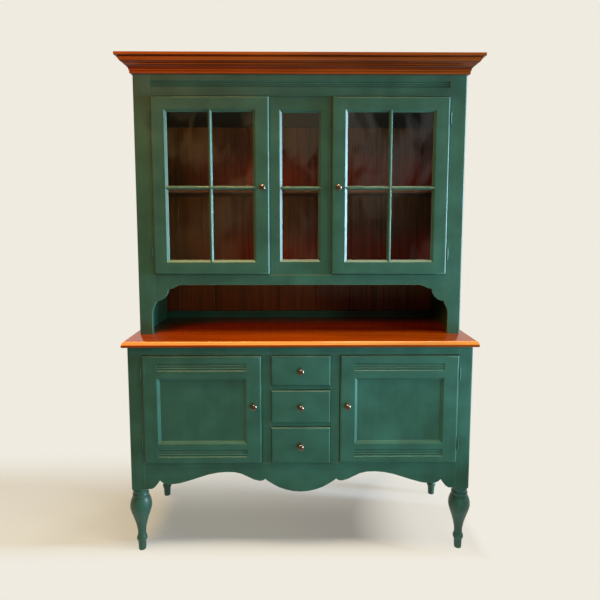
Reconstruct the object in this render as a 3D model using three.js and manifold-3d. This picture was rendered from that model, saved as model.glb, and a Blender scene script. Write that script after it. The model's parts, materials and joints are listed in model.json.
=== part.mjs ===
// Step back cupboard: a shallow glazed upper case standing on a deeper base case with doors and drawers.
// Millimetres, +Z up, origin on the floor under the middle of the bounding box.
// The front faces -Y, and left and right are as seen from the front, so left is -X.
import * as THREE from "three";
import Module from "manifold-3d";

const wasm = await Module();
wasm.setup();

// Overall heights
const CUPBOARD_HEIGHT = 2070;
const COUNTER_TOP_HEIGHT = 920.5;
const COUNTER_THICKNESS = 24;
const LEG_HEIGHT = 290;

// Overall widths and depths
const BASE_WIDTH = 1406;
const BASE_DEPTH = 510;
const UPPER_SIDE_INSET = 17;
const STEP_BACK = 120;
const COUNTER_SIDE_OVERHANG = 18;
const COUNTER_FRONT_OVERHANG = 18;

// Boards
const FACE_FRAME_THICKNESS = 22;
const SIDE_THICKNESS = 20;
const BACK_THICKNESS = 10;
const SHELF_THICKNESS = 20;
const BOTTOM_THICKNESS = 18;
const CORNER_ROUND = 7;
const ROUND_STEPS = 4;
const CUT_OVERRUN = 4;
const MERGE_GRID = 1e4;

// Doors and drawer fronts are let into the face frame and stand out from it
const LEAF_THICKNESS = 22;
const LEAF_STAND_OUT = 10;
const LEAF_GAP = 1.5;
const LEAF_ROUND = 8.5;
const LEAF_ROUND_STEPS = 5;

// Base openings: the case reaches down past them to the legs, and three drawers share their height
const BASE_STILE_WIDTH = 57;
const BASE_TOP_RAIL_HEIGHT = 34;
const CASE_FOOT_HEIGHT = 116.5;
const DRAWER_OPENING_WIDTH = 246;
const MULLION_WIDTH = 35.5;
const DIVIDER_THICKNESS = 18;
const DRAWER_RAIL_THICKNESS = 16;
const TOP_DRAWER_SHARE = 0.304;
const MIDDLE_DRAWER_SHARE = 0.33;
const DRAWER_RUNNER_REACH = 23;
const DRAWER_RUNNER_SETBACK = 24;

// Drawer boxes
const DRAWER_SIDE_THICKNESS = 12;
const DRAWER_BOTTOM_THICKNESS = 8;
const DRAWER_BOX_LENGTH = 450;
const DRAWER_BOX_PLAY = 1;
const DRAWER_BOX_HEADROOM = 14;
const DRAWER_LIFT = 0.3;

// Upper openings
const UPPER_STILE_WIDTH = 68.5;
const NICHE_HEIGHT = 255;
const FRIEZE_HEIGHT = 85.5;
const MIDDLE_LIGHT_WIDTH = 256;
const MIDDLE_LIGHT_RECESS = 4;
const CASE_TOP_DROP = 20;
const CEILING_DROP = 58.5;
const SHELF_SETBACK = 15;
const SHELF_RISE_OVER_BAR = 3;
const BACK_RAIL_HEIGHT = 32.5;
const BACK_RAIL_THICKNESS = 20;
const BACK_GROOVE_PITCH = 170;
const BACK_GROOVE_WIDTH = 6;
const BACK_GROOVE_DEPTH = 3;

// Glazed sashes: flat widths round the light, then a bevel down to the glass
const SASH_STILE_WIDTH = 56;
const SASH_RAIL_WIDTH = 52.5;
const MIDDLE_STILE_WIDTH = 42;
const MIDDLE_RAIL_WIDTH = 54.5;
const SASH_BEVEL_WIDTH = 10;
const SASH_BEVEL_DEPTH = 8;
const SASH_FRONT_DEPTH = 12;
const SASH_REBATE_WIDTH = 8;
const BAR_WIDTH = 16.5;
const BAR_BEVEL_WIDTH = 6;
const BAR_RISE_SHARE = 0.4946;
const GLASS_THICKNESS = 3;
const GLASS_PLAY = 0.3;

// Panelled doors
const PANEL_STILE_WIDTH = 60.5;
const PANEL_TOP_RAIL_WIDTH = 92;
const PANEL_BOTTOM_RAIL_WIDTH = 83;
const PANEL_BEVEL_WIDTH = 11;
const PANEL_BEVEL_DEPTH = 8;
const PANEL_RECESS = 10;
const PANEL_REBATE_WIDTH = 8;
const PANEL_THICKNESS = 9;
const PANEL_PLAY = 0.3;

// Flutes, side by side along a rail
const FLUTE_COUNT = 3;
const FLUTE_ARC_STEPS = 6;
const FLUTE_DEPTH = 4;
const FLUTE_CREST_DEPTH = 0.8;
const FRIEZE_FLUTE_DROP = 23.8;
const FRIEZE_FLUTE_BAND = 26;
const FRIEZE_FLUTE_END = 3.5;
const DOOR_FLUTE_BAND = 31;
const DOOR_TOP_FLUTE_DROP = 32;
const DOOR_BOTTOM_FLUTE_RISE = 27.5;

// Legs: the turned profile is [share of the belly radius, share of the leg height]
const LEG_BELLY_RADIUS = 44.6;
const LEG_SIDE_INSET = 23;
const LEG_FRONT_INSET = 48;
const LEG_BACK_INSET = 46;
const LEG_BLOCK_WIDTH = 50;
const LEG_SEGMENTS = 20;
const LEG_PROFILE_SHARES = [
  [0.314, 0],
  [0.341, 0.01],
  [0.359, 0.076],
  [0.381, 0.124],
  [0.417, 0.145],
  [0.448, 0.152],
  [0.484, 0.169],
  [0.48, 0.19],
  [0.435, 0.214],
  [0.381, 0.241],
  [0.377, 0.276],
  [0.395, 0.314],
  [0.439, 0.355],
  [0.507, 0.407],
  [0.605, 0.462],
  [0.74, 0.528],
  [0.865, 0.586],
  [0.964, 0.641],
  [1, 0.686],
  [0.978, 0.731],
  [0.906, 0.776],
  [0.807, 0.814],
  [0.726, 0.831],
  [0.731, 0.848],
  [0.762, 0.866],
  [0.726, 0.883],
  [0.673, 0.897],
  [0.717, 0.924],
  [0.731, 0.952],
  [0.695, 0.986],
  [0.682, 1],
];

// Apron: half of its lower edge as [share of the half opening, share of the apron depth]
const APRON_DEPTH = 127.5;
const APRON_EDGE_SHARES = [
  [1, 0.89],
  [0.955, 0.882],
  [0.935, 0.812],
  [0.92, 0.718],
  [0.904, 0.6],
  [0.887, 0.678],
  [0.861, 0.722],
  [0.82, 0.725],
  [0.776, 0.694],
  [0.712, 0.6],
  [0.65, 0.498],
  [0.596, 0.408],
  [0.533, 0.341],
  [0.477, 0.318],
  [0.426, 0.325],
  [0.381, 0.38],
  [0.341, 0.478],
  [0.302, 0.576],
  [0.266, 0.624],
  [0.243, 0.612],
  [0.228, 0.557],
  [0.214, 0.62],
  [0.178, 0.737],
  [0.141, 0.843],
  [0.096, 0.925],
  [0.05, 0.98],
];

// Rail over the niche: half of its edge as [share of the half opening, share of the scallop depth]
const SCALLOP_DEPTH = 125.5;
const SCALLOP_EDGE_SHARES = [
  [0.989, 0.892],
  [0.973, 0.884],
  [0.951, 0.841],
  [0.93, 0.761],
  [0.915, 0.649],
  [0.909, 0.53],
  [0.906, 0.482],
  [0.892, 0.474],
  [0.876, 0.454],
  [0.85, 0.386],
  [0.834, 0.355],
  [0.821, 0.343],
];

// The last curve runs down the edge of the stile, as [share of its reach, share of its drop]
const STILE_SCALLOP_REACH = 13.5;
const STILE_SCALLOP_DROP = 42;
const STILE_SCALLOP_SHARES = [
  [0.333, 0.214],
  [0.704, 0.452],
  [0.926, 0.714],
  [1, 1],
];

// Side skirt: its lower edge rises between the legs
const SKIRT_FOOT_LENGTH = 78;
const SKIRT_RISE = 40;

// Counter edge: [share of the edge inset, share of the counter thickness]
const COUNTER_EDGE_INSET = 11;
const COUNTER_EDGE_SHARES = [
  [0.227, 0],
  [0, 0.125],
  [0, 0.458],
  [0.2, 0.625],
  [0.273, 0.75],
  [0.591, 0.933],
  [1, 1],
];

// Cornice: [share of the projection, share of the height]
const CORNICE_HEIGHT = 72;
const CORNICE_PROJECTION = 54.5;
const CORNICE_PROFILE_SHARES = [
  [0, 0],
  [0.092, 0],
  [0.147, 0.036],
  [0.158, 0.086],
  [0.139, 0.139],
  [0.117, 0.167],
  [0.193, 0.175],
  [0.193, 0.229],
  [0.213, 0.292],
  [0.268, 0.361],
  [0.356, 0.422],
  [0.459, 0.464],
  [0.459, 0.5],
  [0.521, 0.519],
  [0.617, 0.561],
  [0.697, 0.619],
  [0.76, 0.694],
  [0.8, 0.778],
  [0.811, 0.814],
  [0.954, 0.828],
  [1, 0.861],
  [1, 1],
  [0, 1],
];

// Knobs: [share of the radius, share of the length]
const KNOB_SEGMENTS = 16;
const KNOB_RADIUS = 12.8;
const KNOB_LENGTH = 27;
const KNOB_PROFILE_SHARES = [
  [0.703, 0],
  [0.703, 0.059],
  [0.469, 0.126],
  [0.375, 0.259],
  [0.406, 0.389],
  [0.703, 0.481],
  [0.938, 0.607],
  [1, 0.726],
  [0.906, 0.867],
  [0.625, 0.963],
];
const UPPER_KNOB_INSET = 27.5;
const LOWER_KNOB_INSET = 30;
const LOWER_KNOB_RISE = 245;

// Hinges: a barrel in front of the stile and a leaf on the edge of the door
const HINGE_LENGTH = 55;
const HINGE_RADIUS = 4;
const HINGE_CLEARANCE = 0.3;
const HINGE_LEAF_THICKNESS = 1;
const HINGE_LEAF_DEPTH = 16;
const HINGE_SEGMENTS = 14;
const UPPER_HINGE_INSET = 86;
const LOWER_HINGE_INSET = 79;

// Colours of the photograph, one per finish
const GREEN_PAINT = { color: 0x3c5b4c, roughness: 0.42, metalness: 0 };
const BROWN_STAIN = { color: 0x4a2410, roughness: 0.55, metalness: 0 };
const COUNTER_STAIN = { color: 0xa55a24, roughness: 0.3, metalness: 0 };
const CORNICE_STAIN = { color: 0x6f3414, roughness: 0.38, metalness: 0 };
const BARE_WOOD = { color: 0xb98d5c, roughness: 0.65, metalness: 0 };
const DARK_PAINT = { color: 0x1b211c, roughness: 0.6, metalness: 0 };
const GLASS = { color: 0xb9c8c2, roughness: 0.06, metalness: 0, opacity: 0.3, transparent: true };
const PEWTER = { color: 0x9a9088, roughness: 0.28, metalness: 0.9 };
const PAINTED_HINGE = { color: 0x35503f, roughness: 0.4, metalness: 0 };

// Derived places. The face frame of the base stands at FACE_Y, its back at BACK_Y.
const FRONT_REACH = LEAF_STAND_OUT + KNOB_LENGTH;
const FACE_Y = (FRONT_REACH - BASE_DEPTH) / 2;
const BACK_Y = FACE_Y + BASE_DEPTH;
const UPPER_FACE_Y = FACE_Y + STEP_BACK;
const BACK_BOARD_Y = BACK_Y - BACK_THICKNESS;
const BASE_HALF = BASE_WIDTH / 2;
const BASE_INNER_HALF = BASE_HALF - SIDE_THICKNESS;
const BASE_OPENING_HALF = BASE_HALF - BASE_STILE_WIDTH;
const UPPER_HALF = BASE_HALF - UPPER_SIDE_INSET;
const UPPER_INNER_HALF = UPPER_HALF - SIDE_THICKNESS;
const UPPER_OPENING_HALF = UPPER_HALF - UPPER_STILE_WIDTH;
const DRAWER_OPENING_HALF = DRAWER_OPENING_WIDTH / 2;
const MIDDLE_LIGHT_HALF = MIDDLE_LIGHT_WIDTH / 2;
const COUNTER_UNDERSIDE = COUNTER_TOP_HEIGHT - COUNTER_THICKNESS;
const BASE_OPENING_TOP = COUNTER_UNDERSIDE - BASE_TOP_RAIL_HEIGHT;
const BASE_OPENING_BOTTOM = LEG_HEIGHT + CASE_FOOT_HEIGHT;
const CORNICE_UNDERSIDE = CUPBOARD_HEIGHT - CORNICE_HEIGHT;
const UPPER_CASE_TOP = CUPBOARD_HEIGHT - CASE_TOP_DROP;
const UPPER_OPENING_TOP = CORNICE_UNDERSIDE - FRIEZE_HEIGHT;
const UPPER_OPENING_BOTTOM = COUNTER_TOP_HEIGHT + NICHE_HEIGHT;
const CEILING_HEIGHT = UPPER_OPENING_TOP - CEILING_DROP;
const BAR_HEIGHT = UPPER_OPENING_BOTTOM + BAR_RISE_SHARE * (UPPER_OPENING_TOP - UPPER_OPENING_BOTTOM);
const SHELF_HEIGHT = BAR_HEIGHT + SHELF_RISE_OVER_BAR;
const SCALLOP_END_HEIGHT = UPPER_OPENING_BOTTOM - SCALLOP_DEPTH;
const LOWER_DOOR_INNER_EDGE = DRAWER_OPENING_HALF + MULLION_WIDTH + LEAF_GAP;

const root = new THREE.Group();
root.name = "step_back_cupboard";

function addNode(name, geometry, finish) {
  const mesh = new THREE.Mesh(geometry, new THREE.MeshStandardMaterial({ ...finish }));
  mesh.name = name;
  root.add(mesh);
}

// A box between two corners
function board(x0, x1, y0, y1, z0, z1) {
  const geometry = new THREE.BoxGeometry(x1 - x0, y1 - y0, z1 - z0);
  return geometry.translate((x0 + x1) / 2, (y0 + y1) / 2, (z0 + z1) / 2);
}

function outline(points) {
  return new THREE.Shape(points.map(([a, b]) => new THREE.Vector2(a, b)));
}

// A prism of an outline in X and Y, standing from z0 to z1
function uprightPrism(points, z0, z1) {
  const geometry = new THREE.ExtrudeGeometry(outline(points), { depth: z1 - z0, bevelEnabled: false });
  return geometry.translate(0, 0, z0);
}

// A prism of an outline in X and Z, running from y0 to y1
function frontPrism(points, y0, y1) {
  const geometry = new THREE.ExtrudeGeometry(outline(points), { depth: y1 - y0, bevelEnabled: false });
  return geometry.rotateX(Math.PI / 2).translate(0, y1, 0);
}

// A prism of an outline in Y and Z, running from x0 to x1
function sidePrism(points, x0, x1) {
  const geometry = new THREE.ExtrudeGeometry(outline(points), { depth: x1 - x0, bevelEnabled: false });
  const turn = new THREE.Matrix4().set(0, 0, 1, 0, 1, 0, 0, 0, 0, 1, 0, 0, 0, 0, 0, 1);
  return geometry.applyMatrix4(turn).translate(x0, 0, 0);
}

// A closed surface through rings of points of one count; the end rings are convex
function loft(rings) {
  const count = rings[0].length;
  const positions = rings.flat(2);
  const faces = [];
  for (let i = 0; i + 1 < rings.length; i += 1) {
    for (let j = 0; j < count; j += 1) {
      const a = i * count + j;
      const b = i * count + ((j + 1) % count);
      faces.push(a, b, b + count, a, b + count, a + count);
    }
  }
  const last = (rings.length - 1) * count;
  for (let j = 1; j + 1 < count; j += 1) {
    faces.push(0, j + 1, j);
    faces.push(last, last + j, last + j + 1);
  }
  const geometry = new THREE.BufferGeometry();
  geometry.setAttribute("position", new THREE.Float32BufferAttribute(positions, 3));
  geometry.setIndex(faces);
  return geometry;
}

// A rectangle in X and Z at one depth, counted so that a loft towards -Y faces outwards
function frontRing(rect, inset, y) {
  const [x0, x1, z0, z1] = rect;
  return [
    [x0 + inset, y, z0 + inset],
    [x1 - inset, y, z0 + inset],
    [x1 - inset, y, z1 - inset],
    [x0 + inset, y, z1 - inset],
  ];
}

// A door or drawer front with its four front edges rounded
function roundedLeaf(rect, frontY, backY) {
  const rings = [frontRing(rect, 0, backY)];
  for (let i = 0; i <= LEAF_ROUND_STEPS; i += 1) {
    const angle = (Math.PI / 2) * (i / LEAF_ROUND_STEPS);
    const inset = LEAF_ROUND * (1 - Math.cos(angle));
    rings.push(frontRing(rect, inset, frontY + LEAF_ROUND * (1 - Math.sin(angle))));
  }
  return loft(rings);
}

// The cutter of one opening: a bevel from the front down to the sight size, then straight through
function bevelledCutter(sight, bevelWidth, bevelDepth, frontY, backY) {
  const slope = bevelWidth / bevelDepth;
  return loft([
    frontRing(sight, 0, backY + CUT_OVERRUN),
    frontRing(sight, 0, frontY + bevelDepth),
    frontRing(sight, -bevelWidth - CUT_OVERRUN * slope, frontY - CUT_OVERRUN),
  ]);
}

function solidOf(geometry) {
  const plain = geometry.index ? geometry.toNonIndexed() : geometry;
  const source = plain.getAttribute("position");
  const seen = new Map();
  const vertices = [];
  const triangles = [];
  for (let i = 0; i < source.count; i += 1) {
    const point = [source.getX(i), source.getY(i), source.getZ(i)];
    const key = point.map((value) => Math.round(value * MERGE_GRID)).join(",");
    if (!seen.has(key)) {
      seen.set(key, vertices.length / 3);
      vertices.push(...point);
    }
    triangles.push(seen.get(key));
  }
  const mesh = new wasm.Mesh({
    numProp: 3,
    vertProperties: new Float32Array(vertices),
    triVerts: new Uint32Array(triangles),
  });
  return new wasm.Manifold(mesh);
}

function geometryOf(solid) {
  const mesh = solid.getMesh();
  const geometry = new THREE.BufferGeometry();
  const stride = mesh.numProp;
  const positions = [];
  for (let i = 0; i < mesh.numVert; i += 1) {
    positions.push(...mesh.vertProperties.subarray(i * stride, i * stride + 3));
  }
  geometry.setAttribute("position", new THREE.Float32BufferAttribute(positions, 3));
  geometry.setIndex(Array.from(mesh.triVerts));
  return geometry;
}

function cut(geometry, cutters) {
  const solid = cutters.reduce((left, cutter) => left.subtract(solidOf(cutter)), solidOf(geometry));
  return geometryOf(solid);
}

function join(geometries) {
  const [first, ...rest] = geometries.map(solidOf);
  return geometryOf(rest.reduce((sum, solid) => sum.add(solid), first));
}

// The cutter of a set of flutes along a rail, from x0 to x1 and down from topZ
function fluteCutter(x0, x1, topZ, band, faceY) {
  const width = band / FLUTE_COUNT;
  const points = [[faceY - FLUTE_DEPTH, topZ]];
  for (let flute = 0; flute < FLUTE_COUNT; flute += 1) {
    for (let step = flute ? 1 : 0; step <= FLUTE_ARC_STEPS; step += 1) {
      const share = step / FLUTE_ARC_STEPS;
      const edge = (flute === 0 && step === 0) || (flute === FLUTE_COUNT - 1 && step === FLUTE_ARC_STEPS);
      const crest = edge ? 0 : FLUTE_CREST_DEPTH;
      const depth = crest + (FLUTE_DEPTH - crest) * Math.sin(Math.PI * share);
      points.push([faceY + depth, topZ - width * (flute + share)]);
    }
  }
  points.push([faceY - FLUTE_DEPTH, topZ - band]);
  return sidePrism(points.reverse(), x0, x1);
}

function mirrored(points) {
  return points.map(([x, z]) => [-x, z]);
}

// A pair of nodes, left and right; SIDE in the name stands for the side
function addPair(build) {
  for (const [side, sign] of [["left", -1], ["right", 1]]) {
    const [name, geometry, finish] = build(sign);
    addNode(name.replace("SIDE", side), geometry, finish);
  }
}

// A span between two distances from the middle, on the left or on the right
function span(sign, near, far) {
  return sign < 0 ? [-far, -near] : [near, far];
}

// Legs: a square corner block inside the case, and the turned leg under the corner
function leg(sign, axisY, blockY) {
  const axisX = sign * (BASE_HALF - LEG_SIDE_INSET);
  const profile = LEG_PROFILE_SHARES.map(
    ([radius, height]) => new THREE.Vector2(radius * LEG_BELLY_RADIUS, height * LEG_HEIGHT),
  );
  const turned = new THREE.LatheGeometry(
    [new THREE.Vector2(0, 0), ...profile, new THREE.Vector2(0, LEG_HEIGHT)],
    LEG_SEGMENTS,
  );
  turned.rotateX(Math.PI / 2).translate(axisX, axisY, 0);
  const [x0, x1] = span(sign, BASE_INNER_HALF - LEG_BLOCK_WIDTH, BASE_INNER_HALF);
  const top = BASE_OPENING_BOTTOM - BOTTOM_THICKNESS;
  const block = board(x0, x1, blockY, blockY + LEG_BLOCK_WIDTH, LEG_HEIGHT, top);
  return join([turned, block]);
}

const FRONT_LEG_Y = FACE_Y + LEG_FRONT_INSET;
const BACK_LEG_Y = BACK_Y - LEG_BACK_INSET;
const FRAME_BACK_Y = FACE_Y + FACE_FRAME_THICKNESS;
const BACK_BLOCK_Y = BACK_BOARD_Y - LEG_BLOCK_WIDTH;
addPair((sign) => ["leg_front_SIDE", leg(sign, FRONT_LEG_Y, FRAME_BACK_Y), GREEN_PAINT]);
addPair((sign) => ["leg_back_SIDE", leg(sign, BACK_LEG_Y, BACK_BLOCK_Y), GREEN_PAINT]);

// A face stile whose outer front edge is rounded, as an outline in X and Y
function stileOutline(sign, inner, outer, frontY, backY) {
  const points = [[inner, backY], [inner, frontY]];
  for (let i = 0; i <= ROUND_STEPS; i += 1) {
    const angle = (Math.PI / 2) * (i / ROUND_STEPS);
    const x = outer - CORNER_ROUND + CORNER_ROUND * Math.sin(angle);
    points.push([x, frontY + CORNER_ROUND - CORNER_ROUND * Math.cos(angle)]);
  }
  points.push([outer, backY]);
  return sign < 0 ? mirrored(points).reverse() : points;
}

// Base case
addPair((sign) => {
  const points = stileOutline(sign, BASE_OPENING_HALF, BASE_HALF, FACE_Y, FRAME_BACK_Y);
  return ["base_SIDE_stile", uprightPrism(points, LEG_HEIGHT, COUNTER_UNDERSIDE), GREEN_PAINT];
});

function sideSkirtOutline() {
  const riseZ = LEG_HEIGHT + SKIRT_RISE;
  const points = [[FRAME_BACK_Y, COUNTER_UNDERSIDE], [FRAME_BACK_Y, LEG_HEIGHT]];
  const startY = FRAME_BACK_Y + SKIRT_FOOT_LENGTH;
  const endY = BACK_Y - SKIRT_FOOT_LENGTH;
  for (let i = 0; i <= ROUND_STEPS; i += 1) {
    const angle = (Math.PI / 2) * (i / ROUND_STEPS);
    points.push([startY + SKIRT_RISE * (1 - Math.cos(angle)), LEG_HEIGHT + SKIRT_RISE * Math.sin(angle)]);
  }
  for (let i = 0; i <= ROUND_STEPS; i += 1) {
    const angle = (Math.PI / 2) * (i / ROUND_STEPS);
    points.push([endY - SKIRT_RISE * (1 - Math.sin(angle)), riseZ - SKIRT_RISE * (1 - Math.cos(angle))]);
  }
  points.push([BACK_Y, LEG_HEIGHT], [BACK_Y, COUNTER_UNDERSIDE]);
  return points;
}

addPair((sign) => {
  const [x0, x1] = span(sign, BASE_INNER_HALF, BASE_HALF);
  return ["base_SIDE_side", sidePrism(sideSkirtOutline(), x0, x1), GREEN_PAINT];
});

const FLOOR_UNDERSIDE = BASE_OPENING_BOTTOM - BOTTOM_THICKNESS;
addNode(
  "base_bottom",
  board(-BASE_INNER_HALF, BASE_INNER_HALF, FRAME_BACK_Y, BACK_BOARD_Y, FLOOR_UNDERSIDE, BASE_OPENING_BOTTOM),
  BARE_WOOD,
);
addNode(
  "base_back",
  board(-BASE_INNER_HALF, BASE_INNER_HALF, BACK_BOARD_Y, BACK_Y, FLOOR_UNDERSIDE, COUNTER_UNDERSIDE),
  BARE_WOOD,
);
addNode(
  "base_top_rail",
  board(-BASE_OPENING_HALF, BASE_OPENING_HALF, FACE_Y, FRAME_BACK_Y, BASE_OPENING_TOP, COUNTER_UNDERSIDE),
  GREEN_PAINT,
);

const apronEdge = APRON_EDGE_SHARES.map(([across, down]) => [
  across * BASE_OPENING_HALF,
  BASE_OPENING_BOTTOM - down * APRON_DEPTH,
]);
const apronOutline = [
  [-BASE_OPENING_HALF, BASE_OPENING_BOTTOM],
  ...mirrored(apronEdge),
  [0, BASE_OPENING_BOTTOM - APRON_DEPTH],
  ...[...apronEdge].reverse(),
  [BASE_OPENING_HALF, BASE_OPENING_BOTTOM],
];
addNode("base_apron", frontPrism(apronOutline, FACE_Y, FRAME_BACK_Y), GREEN_PAINT);

// Drawer bay: two rails part its height into three openings, from the top one down
const DRAWERS_HEIGHT = BASE_OPENING_TOP - BASE_OPENING_BOTTOM - 2 * DRAWER_RAIL_THICKNESS;
const UPPER_RAIL_TOP = BASE_OPENING_TOP - TOP_DRAWER_SHARE * DRAWERS_HEIGHT;
const UPPER_RAIL_UNDERSIDE = UPPER_RAIL_TOP - DRAWER_RAIL_THICKNESS;
const LOWER_RAIL_TOP = UPPER_RAIL_UNDERSIDE - MIDDLE_DRAWER_SHARE * DRAWERS_HEIGHT;
const LOWER_RAIL_UNDERSIDE = LOWER_RAIL_TOP - DRAWER_RAIL_THICKNESS;

// Divider: the mullion of the face frame, the board behind it and the runners of two drawers
function divider(sign) {
  const mullionFar = DRAWER_OPENING_HALF + MULLION_WIDTH;
  const middle = DRAWER_OPENING_HALF + MULLION_WIDTH / 2;
  const boardNear = middle - DIVIDER_THICKNESS / 2;
  const boardFar = middle + DIVIDER_THICKNESS / 2;
  const [mx0, mx1] = span(sign, DRAWER_OPENING_HALF, mullionFar);
  const [bx0, bx1] = span(sign, boardNear, boardFar);
  const [rx0, rx1] = span(sign, boardNear - DRAWER_RUNNER_REACH, boardNear);
  const runnerBack = BACK_BOARD_Y - DRAWER_RUNNER_SETBACK;
  return join([
    board(mx0, mx1, FACE_Y, FRAME_BACK_Y, BASE_OPENING_BOTTOM, BASE_OPENING_TOP),
    board(bx0, bx1, FRAME_BACK_Y, BACK_BOARD_Y, BASE_OPENING_BOTTOM, COUNTER_UNDERSIDE),
    board(rx0, rx1, FRAME_BACK_Y, runnerBack, UPPER_RAIL_UNDERSIDE, UPPER_RAIL_TOP),
    board(rx0, rx1, FRAME_BACK_Y, runnerBack, LOWER_RAIL_UNDERSIDE, LOWER_RAIL_TOP),
  ]);
}

addPair((sign) => ["drawer_bay_SIDE_divider", divider(sign), GREEN_PAINT]);

function drawerRail(underside, top) {
  return board(-DRAWER_OPENING_HALF, DRAWER_OPENING_HALF, FACE_Y, FRAME_BACK_Y, underside, top);
}

addNode("drawer_rail_upper", drawerRail(UPPER_RAIL_UNDERSIDE, UPPER_RAIL_TOP), GREEN_PAINT);
addNode("drawer_rail_lower", drawerRail(LOWER_RAIL_UNDERSIDE, LOWER_RAIL_TOP), GREEN_PAINT);

// Counter top: its front and both ends are moulded, its back is square
function counterRing([insetShare, riseShare]) {
  const inset = insetShare * COUNTER_EDGE_INSET;
  const half = BASE_HALF + COUNTER_SIDE_OVERHANG - inset;
  const frontY = FACE_Y - COUNTER_FRONT_OVERHANG + inset;
  const z = COUNTER_UNDERSIDE + riseShare * COUNTER_THICKNESS;
  return [
    [-half, frontY, z],
    [half, frontY, z],
    [half, BACK_Y, z],
    [-half, BACK_Y, z],
  ];
}

addNode("counter_top", loft(COUNTER_EDGE_SHARES.map(counterRing)), COUNTER_STAIN);

// A knob on a face that looks to -Y
function knob(x, y, z) {
  const profile = KNOB_PROFILE_SHARES.map(
    ([radius, reach]) => new THREE.Vector2(radius * KNOB_RADIUS, reach * KNOB_LENGTH),
  );
  const turned = new THREE.LatheGeometry(
    [new THREE.Vector2(0, 0), ...profile, new THREE.Vector2(0, KNOB_LENGTH)],
    KNOB_SEGMENTS,
  );
  return turned.rotateX(Math.PI).translate(x, y, z);
}

// A hinge: the barrel stands in front of the stile beside the door's edge, the leaf lies on that edge
function hinge(sign, doorEdge, stileFaceY, middleZ) {
  const axisX = doorEdge + HINGE_RADIUS + HINGE_CLEARANCE;
  const axisY = stileFaceY - HINGE_RADIUS - HINGE_CLEARANCE;
  const barrel = new THREE.CylinderGeometry(HINGE_RADIUS, HINGE_RADIUS, HINGE_LENGTH, HINGE_SEGMENTS);
  barrel.rotateX(Math.PI / 2).translate(sign * axisX, axisY, middleZ);
  const [x0, x1] = span(sign, doorEdge, doorEdge + HINGE_LEAF_THICKNESS);
  const half = HINGE_LENGTH / 2;
  const leaf = board(x0, x1, axisY, axisY + HINGE_LEAF_DEPTH, middleZ - half, middleZ + half);
  return join([barrel, leaf]);
}

// Lower doors
const LOWER_LEAF_Y = FACE_Y - LEAF_STAND_OUT;
const LOWER_LEAF_BACK_Y = LOWER_LEAF_Y + LEAF_THICKNESS;
const LOWER_DOOR_OUTER_EDGE = BASE_OPENING_HALF - LEAF_GAP;
const LOWER_DOOR_TOP = BASE_OPENING_TOP - LEAF_GAP;
const LOWER_DOOR_BOTTOM = BASE_OPENING_BOTTOM + LEAF_GAP;

function grown(rect, amount) {
  return [rect[0] - amount, rect[1] + amount, rect[2] - amount, rect[3] + amount];
}

function rectBoard(rect, y0, y1) {
  return board(rect[0], rect[1], y0, y1, rect[2], rect[3]);
}

function panelSight(sign) {
  const margin = PANEL_STILE_WIDTH + PANEL_BEVEL_WIDTH;
  const [x0, x1] = span(sign, LOWER_DOOR_INNER_EDGE + margin, LOWER_DOOR_OUTER_EDGE - margin);
  const z0 = LOWER_DOOR_BOTTOM + PANEL_BOTTOM_RAIL_WIDTH + PANEL_BEVEL_WIDTH;
  return [x0, x1, z0, LOWER_DOOR_TOP - PANEL_TOP_RAIL_WIDTH - PANEL_BEVEL_WIDTH];
}

addPair((sign) => {
  const [x0, x1] = span(sign, LOWER_DOOR_INNER_EDGE, LOWER_DOOR_OUTER_EDGE);
  const rect = [x0, x1, LOWER_DOOR_BOTTOM, LOWER_DOOR_TOP];
  const sight = panelSight(sign);
  const fluteX0 = x0 + PANEL_STILE_WIDTH;
  const fluteX1 = x1 - PANEL_STILE_WIDTH;
  const topFlute = LOWER_DOOR_TOP - DOOR_TOP_FLUTE_DROP;
  const bottomFlute = LOWER_DOOR_BOTTOM + DOOR_BOTTOM_FLUTE_RISE + DOOR_FLUTE_BAND;
  const rebate = grown(sight, PANEL_REBATE_WIDTH);
  const frame = cut(roundedLeaf(rect, LOWER_LEAF_Y, LOWER_LEAF_BACK_Y), [
    bevelledCutter(sight, PANEL_BEVEL_WIDTH, PANEL_BEVEL_DEPTH, LOWER_LEAF_Y, LOWER_LEAF_BACK_Y),
    rectBoard(rebate, LOWER_LEAF_Y + PANEL_RECESS, LOWER_LEAF_BACK_Y + CUT_OVERRUN),
    fluteCutter(fluteX0, fluteX1, topFlute, DOOR_FLUTE_BAND, LOWER_LEAF_Y),
    fluteCutter(fluteX0, fluteX1, bottomFlute, DOOR_FLUTE_BAND, LOWER_LEAF_Y),
  ]);
  return ["lower_SIDE_door_frame", frame, GREEN_PAINT];
});

addPair((sign) => {
  const rect = grown(panelSight(sign), PANEL_REBATE_WIDTH - PANEL_PLAY);
  const y = LOWER_LEAF_Y + PANEL_RECESS;
  return ["lower_SIDE_door_panel", rectBoard(rect, y, y + PANEL_THICKNESS), GREEN_PAINT];
});

addPair((sign) => {
  const x = sign * (LOWER_DOOR_INNER_EDGE + LOWER_KNOB_INSET);
  return ["lower_SIDE_door_knob", knob(x, LOWER_LEAF_Y, LOWER_DOOR_BOTTOM + LOWER_KNOB_RISE), PEWTER];
});

const LOWER_HINGES = [
  ["lower", LOWER_DOOR_BOTTOM + LOWER_HINGE_INSET],
  ["upper", LOWER_DOOR_TOP - LOWER_HINGE_INSET],
];
LOWER_HINGES.forEach(([place, height]) => {
  addPair((sign) => {
    const made = hinge(sign, LOWER_DOOR_OUTER_EDGE, FACE_Y, height);
    return ["lower_SIDE_door_hinge_" + place, made, PAINTED_HINGE];
  });
});

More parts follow.
